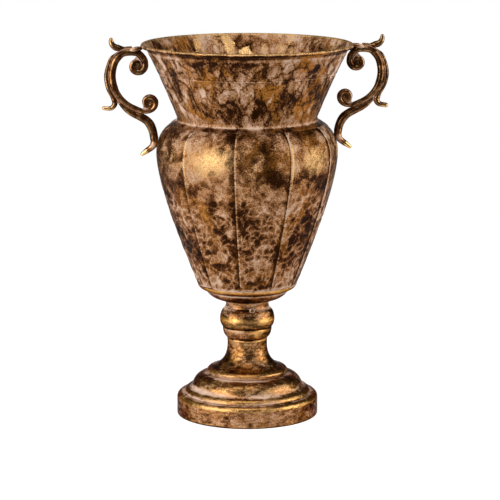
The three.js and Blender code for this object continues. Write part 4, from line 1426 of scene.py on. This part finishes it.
def make_handle(side, turn, drop, grow, heel_share, leg_half, spur):
    """One handle: four bars, the solder in its volutes and at the rim, and the rivet of its heel."""
    facing = math.radians(turn - 90)
    origin = at(RIM_RADIUS, RIM_LEVEL - drop)
    scroll = scroll_bar(origin, grow)
    top_leaf = top_leaf_bar(scroll)
    wall, inward = heel_seat(heel_share, turn)
    heel = at(wall[0] + SEAT + ANKLE_HALF - HEEL_BITE, wall[1] + HEEL_RADIUS / 4)
    bars = {
        "scroll": scroll,
        "top_leaf": top_leaf,
        "outer_leaf": outer_leaf_bar(scroll, *spur),
        "leg": leg_bar(scroll, heel, leg_half),
    }
    shapes = {
        part: closed_bar(bar_rings(bar, HANDLE_SEED + count))
        for count, (part, bar) in enumerate(bars.items())
    }
    shapes["leg"] = (press_on_bowl(shapes["leg"][0], facing), shapes["leg"][1])
    filled = [make_web(origin + eye * grow, radius * grow, mouth) for eye, radius, mouth in WEBS]
    webs, washes = zip(*filled)
    web_points = np.vstack([points for points, _ in webs])
    for part, (points, faces) in shapes.items():
        others = np.vstack([shape[0] for other, shape in shapes.items() if other != part] + [web_points])
        groove = closeness(points, others, WASH_REACH)
        rub_and_highlight = 0.0
        if part == "scroll":
            points, faces = joined((points, faces), *webs)
            groove = np.concatenate([groove, *washes])
        else:
            tip = bars[part].points[-1]
            rub_and_highlight = TIP_RUBS[part] * near_place(points, tip, TIP_REACH)
        if part == "leg":
            heel_fill = near_place(points, heel + HEEL_FILL, HEEL_FILL_REACH)
            groove = np.maximum(groove, 0.85 * heel_fill)
        node = f"{side}_handle_{part}"
        make_cast_piece(f"{side}_{part}_bar", (points, faces), facing, groove, rub_and_highlight, node)
    make_rim_solder(side, turn, facing, scroll, top_leaf.points[0][0])
    face = np.array([wall[0], 0, wall[1]]) + inward / np.linalg.norm(inward) * (SHEET + SEAT)
    rivet = closed_bar(stud_rings(face, inward, RIVET_LINE))
    make_cast_piece(f"{side}_domed_rivet", rivet, facing, 0.1, 0.3, f"{side}_shoulder_rivet")


# Small fasteners

PIN_LINE = ((-2.2, 1.2), (0, 1.2), (0, 2.6), (0.9, 2.8), (1.7, 2.5), (2.0, 2.0), (1.3, 1.6), (0.2, 1.3))
THREAD_RUN = 15.0
THREAD_PITCH = 1.25
THREAD_DEPTH = 0.5
NUT_WIDTH = 13.0
EDGE_BREAK = 0.8
ROD_SIDES = 32
RING_SIDES = 64
NUT_SIDES = 72


def make_pin():
    """The hollow-headed pin that holds the stem's collar."""
    turn = math.radians(PIN_TURN)
    axis = np.array([math.sin(turn), -math.cos(turn), 0])
    start = axis * (KNOP_TOP_RADIUS + SEAT) + np.array([0, 0, SOCKET_FOOT])
    points, faces = closed_bar(stud_rings(start, axis, PIN_LINE))
    hollow = np.repeat([0.0] * (len(PIN_LINE) - 2) + [1.0, 1.0], STUD_SIDES)
    hollow = np.concatenate([hollow, [0.0, 1.0]])
    make_cast_piece("hollow_pin", (points, faces), 0.0, 0.85 * (1 - hollow), 0.0, "socket_pin")


def make_steel_ring(name, node, outside, shoulder, edge, sides):
    """A washer, plate or nut with a hole for the rod; its faces end at a shoulder before the outside."""
    low, high, _ = levels_of(node)
    rows = ((ROD_HOLE, low), (shoulder, low), (outside, low + edge),
            (outside, high - edge), (shoulder, high), (ROD_HOLE, high))
    points = np.concatenate([on_circle(radius, around(sides)[None], height) for radius, height in rows])
    faces = grid_faces(len(rows), sides, True)
    make_piece(name, points, faces, ROD_METAL, {}, node)


def make_rod():
    """The tie rod, threaded at both ends."""
    foot, top, _ = levels_of("tie_rod")
    ways = np.arange(EDGE_BREAK, THREAD_RUN, THREAD_PITCH / 2)
    radii = ROD_RADIUS - THREAD_DEPTH * (np.arange(len(ways)) % 2)
    blunt = ROD_RADIUS - EDGE_BREAK
    line = np.vstack([
        at(blunt, foot), np.column_stack([radii, foot + ways]),
        np.column_stack([radii, top - ways])[::-1], at(blunt, top),
    ])
    points, faces = closed_bar(on_circle(line[:, :1], around(ROD_SIDES)[None], line[:, 1:]))
    make_piece("threaded_rod", points, faces, ROD_METAL, {}, "tie_rod")


def make_fasteners():
    make_pin()
    make_rod()
    for name, node in (("rod_washer", "bowl_washer"), ("rod_plate", "base_plate")):
        low, high, radius = levels_of(node)
        edge = min(EDGE_BREAK, (high - low) / 3)
        make_steel_ring(name, node, radius, radius - edge, edge, RING_SIDES)
    flat = NUT_WIDTH / 2
    from_flat = (around(NUT_SIDES)[None] + math.pi / 6) % (math.pi / 3) - math.pi / 6
    for name, node in (("upper_rod_nut", "bowl_nut"), ("lower_rod_nut", "base_nut")):
        make_steel_ring(name, node, flat / np.cos(from_flat), flat, EDGE_BREAK, NUT_SIDES)


# The stage: floor, lamps, world and camera

CAMERA_PLACE = (0.0029, -2.463, 0.6435)
CAMERA_PITCH = 10.78
FOCAL_PIXELS = 2388
FRAME_PIXELS = 500
SENSOR = 36.0
TABLE = ((-0.85, -0.45), (0.85, 1.2))
SOFTBOX_AIM = Vector((0, 0, 0.22))
# Soft lamps: name, azimuth, elevation, distance, width, height and power
SOFTBOXES = (
    ("left softbox", -57, 12, 1.9, 1.6, 1.9, 44),
    ("right softbox", 80, 12, 1.9, 1.8, 1.9, 36),
    ("top softbox", -12, 70, 1.6, 1.1, 0.9, 9),
)
WHITE = (1, 1, 1, 1)
FLOOR_COLOUR = (0.50, 0.49, 0.48, 1)
FLOOR_GLOW = 0.74
ROOM_LEFT = (0.26, 0.25, 0.24, 1)
ROOM_RIGHT = (0.07, 0.065, 0.06, 1)
ROOM_LIGHT = (0.28, 0.27, 0.26, 1)


def make_camera():
    lens = bpy.data.cameras.new("camera")
    lens.sensor_width = SENSOR
    lens.lens = FOCAL_PIXELS / FRAME_PIXELS * SENSOR
    camera = bpy.data.objects.new("camera", lens)
    camera.location = CAMERA_PLACE
    camera.rotation_euler = (math.radians(90 - CAMERA_PITCH), 0, 0)
    bpy.context.scene.collection.objects.link(camera)
    bpy.context.scene.camera = camera


def make_softbox(name, azimuth, elevation, distance, width, height, power):
    """A soft lamp at an azimuth from the front towards +X, facing the pot."""
    lamp = bpy.data.lights.new(name, "AREA")
    lamp.shape = "RECTANGLE"
    lamp.size, lamp.size_y = width, height
    lamp.energy = power
    softbox = bpy.data.objects.new(name, lamp)
    turn, climb = math.radians(azimuth), math.radians(elevation)
    away = Vector((math.sin(turn) * math.cos(climb), -math.cos(turn) * math.cos(climb), math.sin(climb)))
    softbox.location = SOFTBOX_AIM + away * distance
    softbox.rotation_euler = away.to_track_quat("Z", "Y").to_euler()
    bpy.context.scene.collection.objects.link(softbox)


def make_floor():
    """A pale table top that shows white to the eye and keeps the pot's shadow."""
    mesh = bpy.data.meshes.new("floor")
    (left, front), (right, back) = TABLE
    corners = [(left, front, 0), (right, front, 0), (right, back, 0), (left, back, 0)]
    mesh.from_pydata(corners, [], [(0, 1, 2, 3)])
    floor = bpy.data.objects.new("floor", mesh)
    bpy.context.scene.collection.objects.link(floor)
    material = bpy.data.materials.new("pale floor")
    lay, shown = start_surface(material, "ShaderNodeOutputMaterial")
    matt = lay.add("ShaderNodeBsdfDiffuse", {"Color": FLOOR_COLOUR})
    path = lay.add("ShaderNodeLightPath").outputs
    seen = lay.most(path["Is Camera Ray"], lay.most(path["Is Glossy Ray"], path["Is Transmission Ray"]))
    glow = lay.add("ShaderNodeEmission", {"Strength": lay.times(seen, FLOOR_GLOW)})
    both = lay.add("ShaderNodeAddShader", {0: matt.outputs[0], 1: glow.outputs[0]})
    lay.feed(shown, both.outputs[0])
    floor.data.materials.append(material)


def make_world():
    """White to the eye; metal mirrors the white backdrop behind the pot and a dim room before it."""
    world = bpy.data.worlds.new("studio")
    bpy.context.scene.world = world
    lay, shown = start_surface(world, "ShaderNodeOutputWorld")
    heading = lay.add("ShaderNodeSeparateXYZ", {0: lay.add("ShaderNodeTexCoord").outputs["Generated"]})
    room = lay.blend(lay.ease(heading.outputs["X"], -0.1, 0.4), ROOM_LEFT, ROOM_RIGHT)
    backdrop = lay.ease(heading.outputs["Y"], 0.9, 0.98)
    mirrored = lay.blend(backdrop, room, WHITE)
    path = lay.add("ShaderNodeLightPath").outputs
    colour = lay.blend(path["Is Glossy Ray"], ROOM_LIGHT, mirrored)
    seen = lay.most(path["Is Camera Ray"], path["Is Transmission Ray"])
    sky = lay.add("ShaderNodeBackground", {"Color": lay.blend(seen, colour, WHITE)})
    lay.feed(shown, sky.outputs[0])


make_camera()
make_world()
make_floor()
for softbox in SOFTBOXES:
    make_softbox(*softbox)
bpy.context.scene.view_settings.view_transform = "Standard"

make_stem_and_foot()
for number in range(PANEL_COUNT):
    make_panel(number)
make_neck()
for handle in HANDLES:
    make_handle(**handle)
make_fasteners()
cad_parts["rim_wire"].data.materials.clear()
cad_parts["rim_wire"].data.materials.append(ROD_METAL)
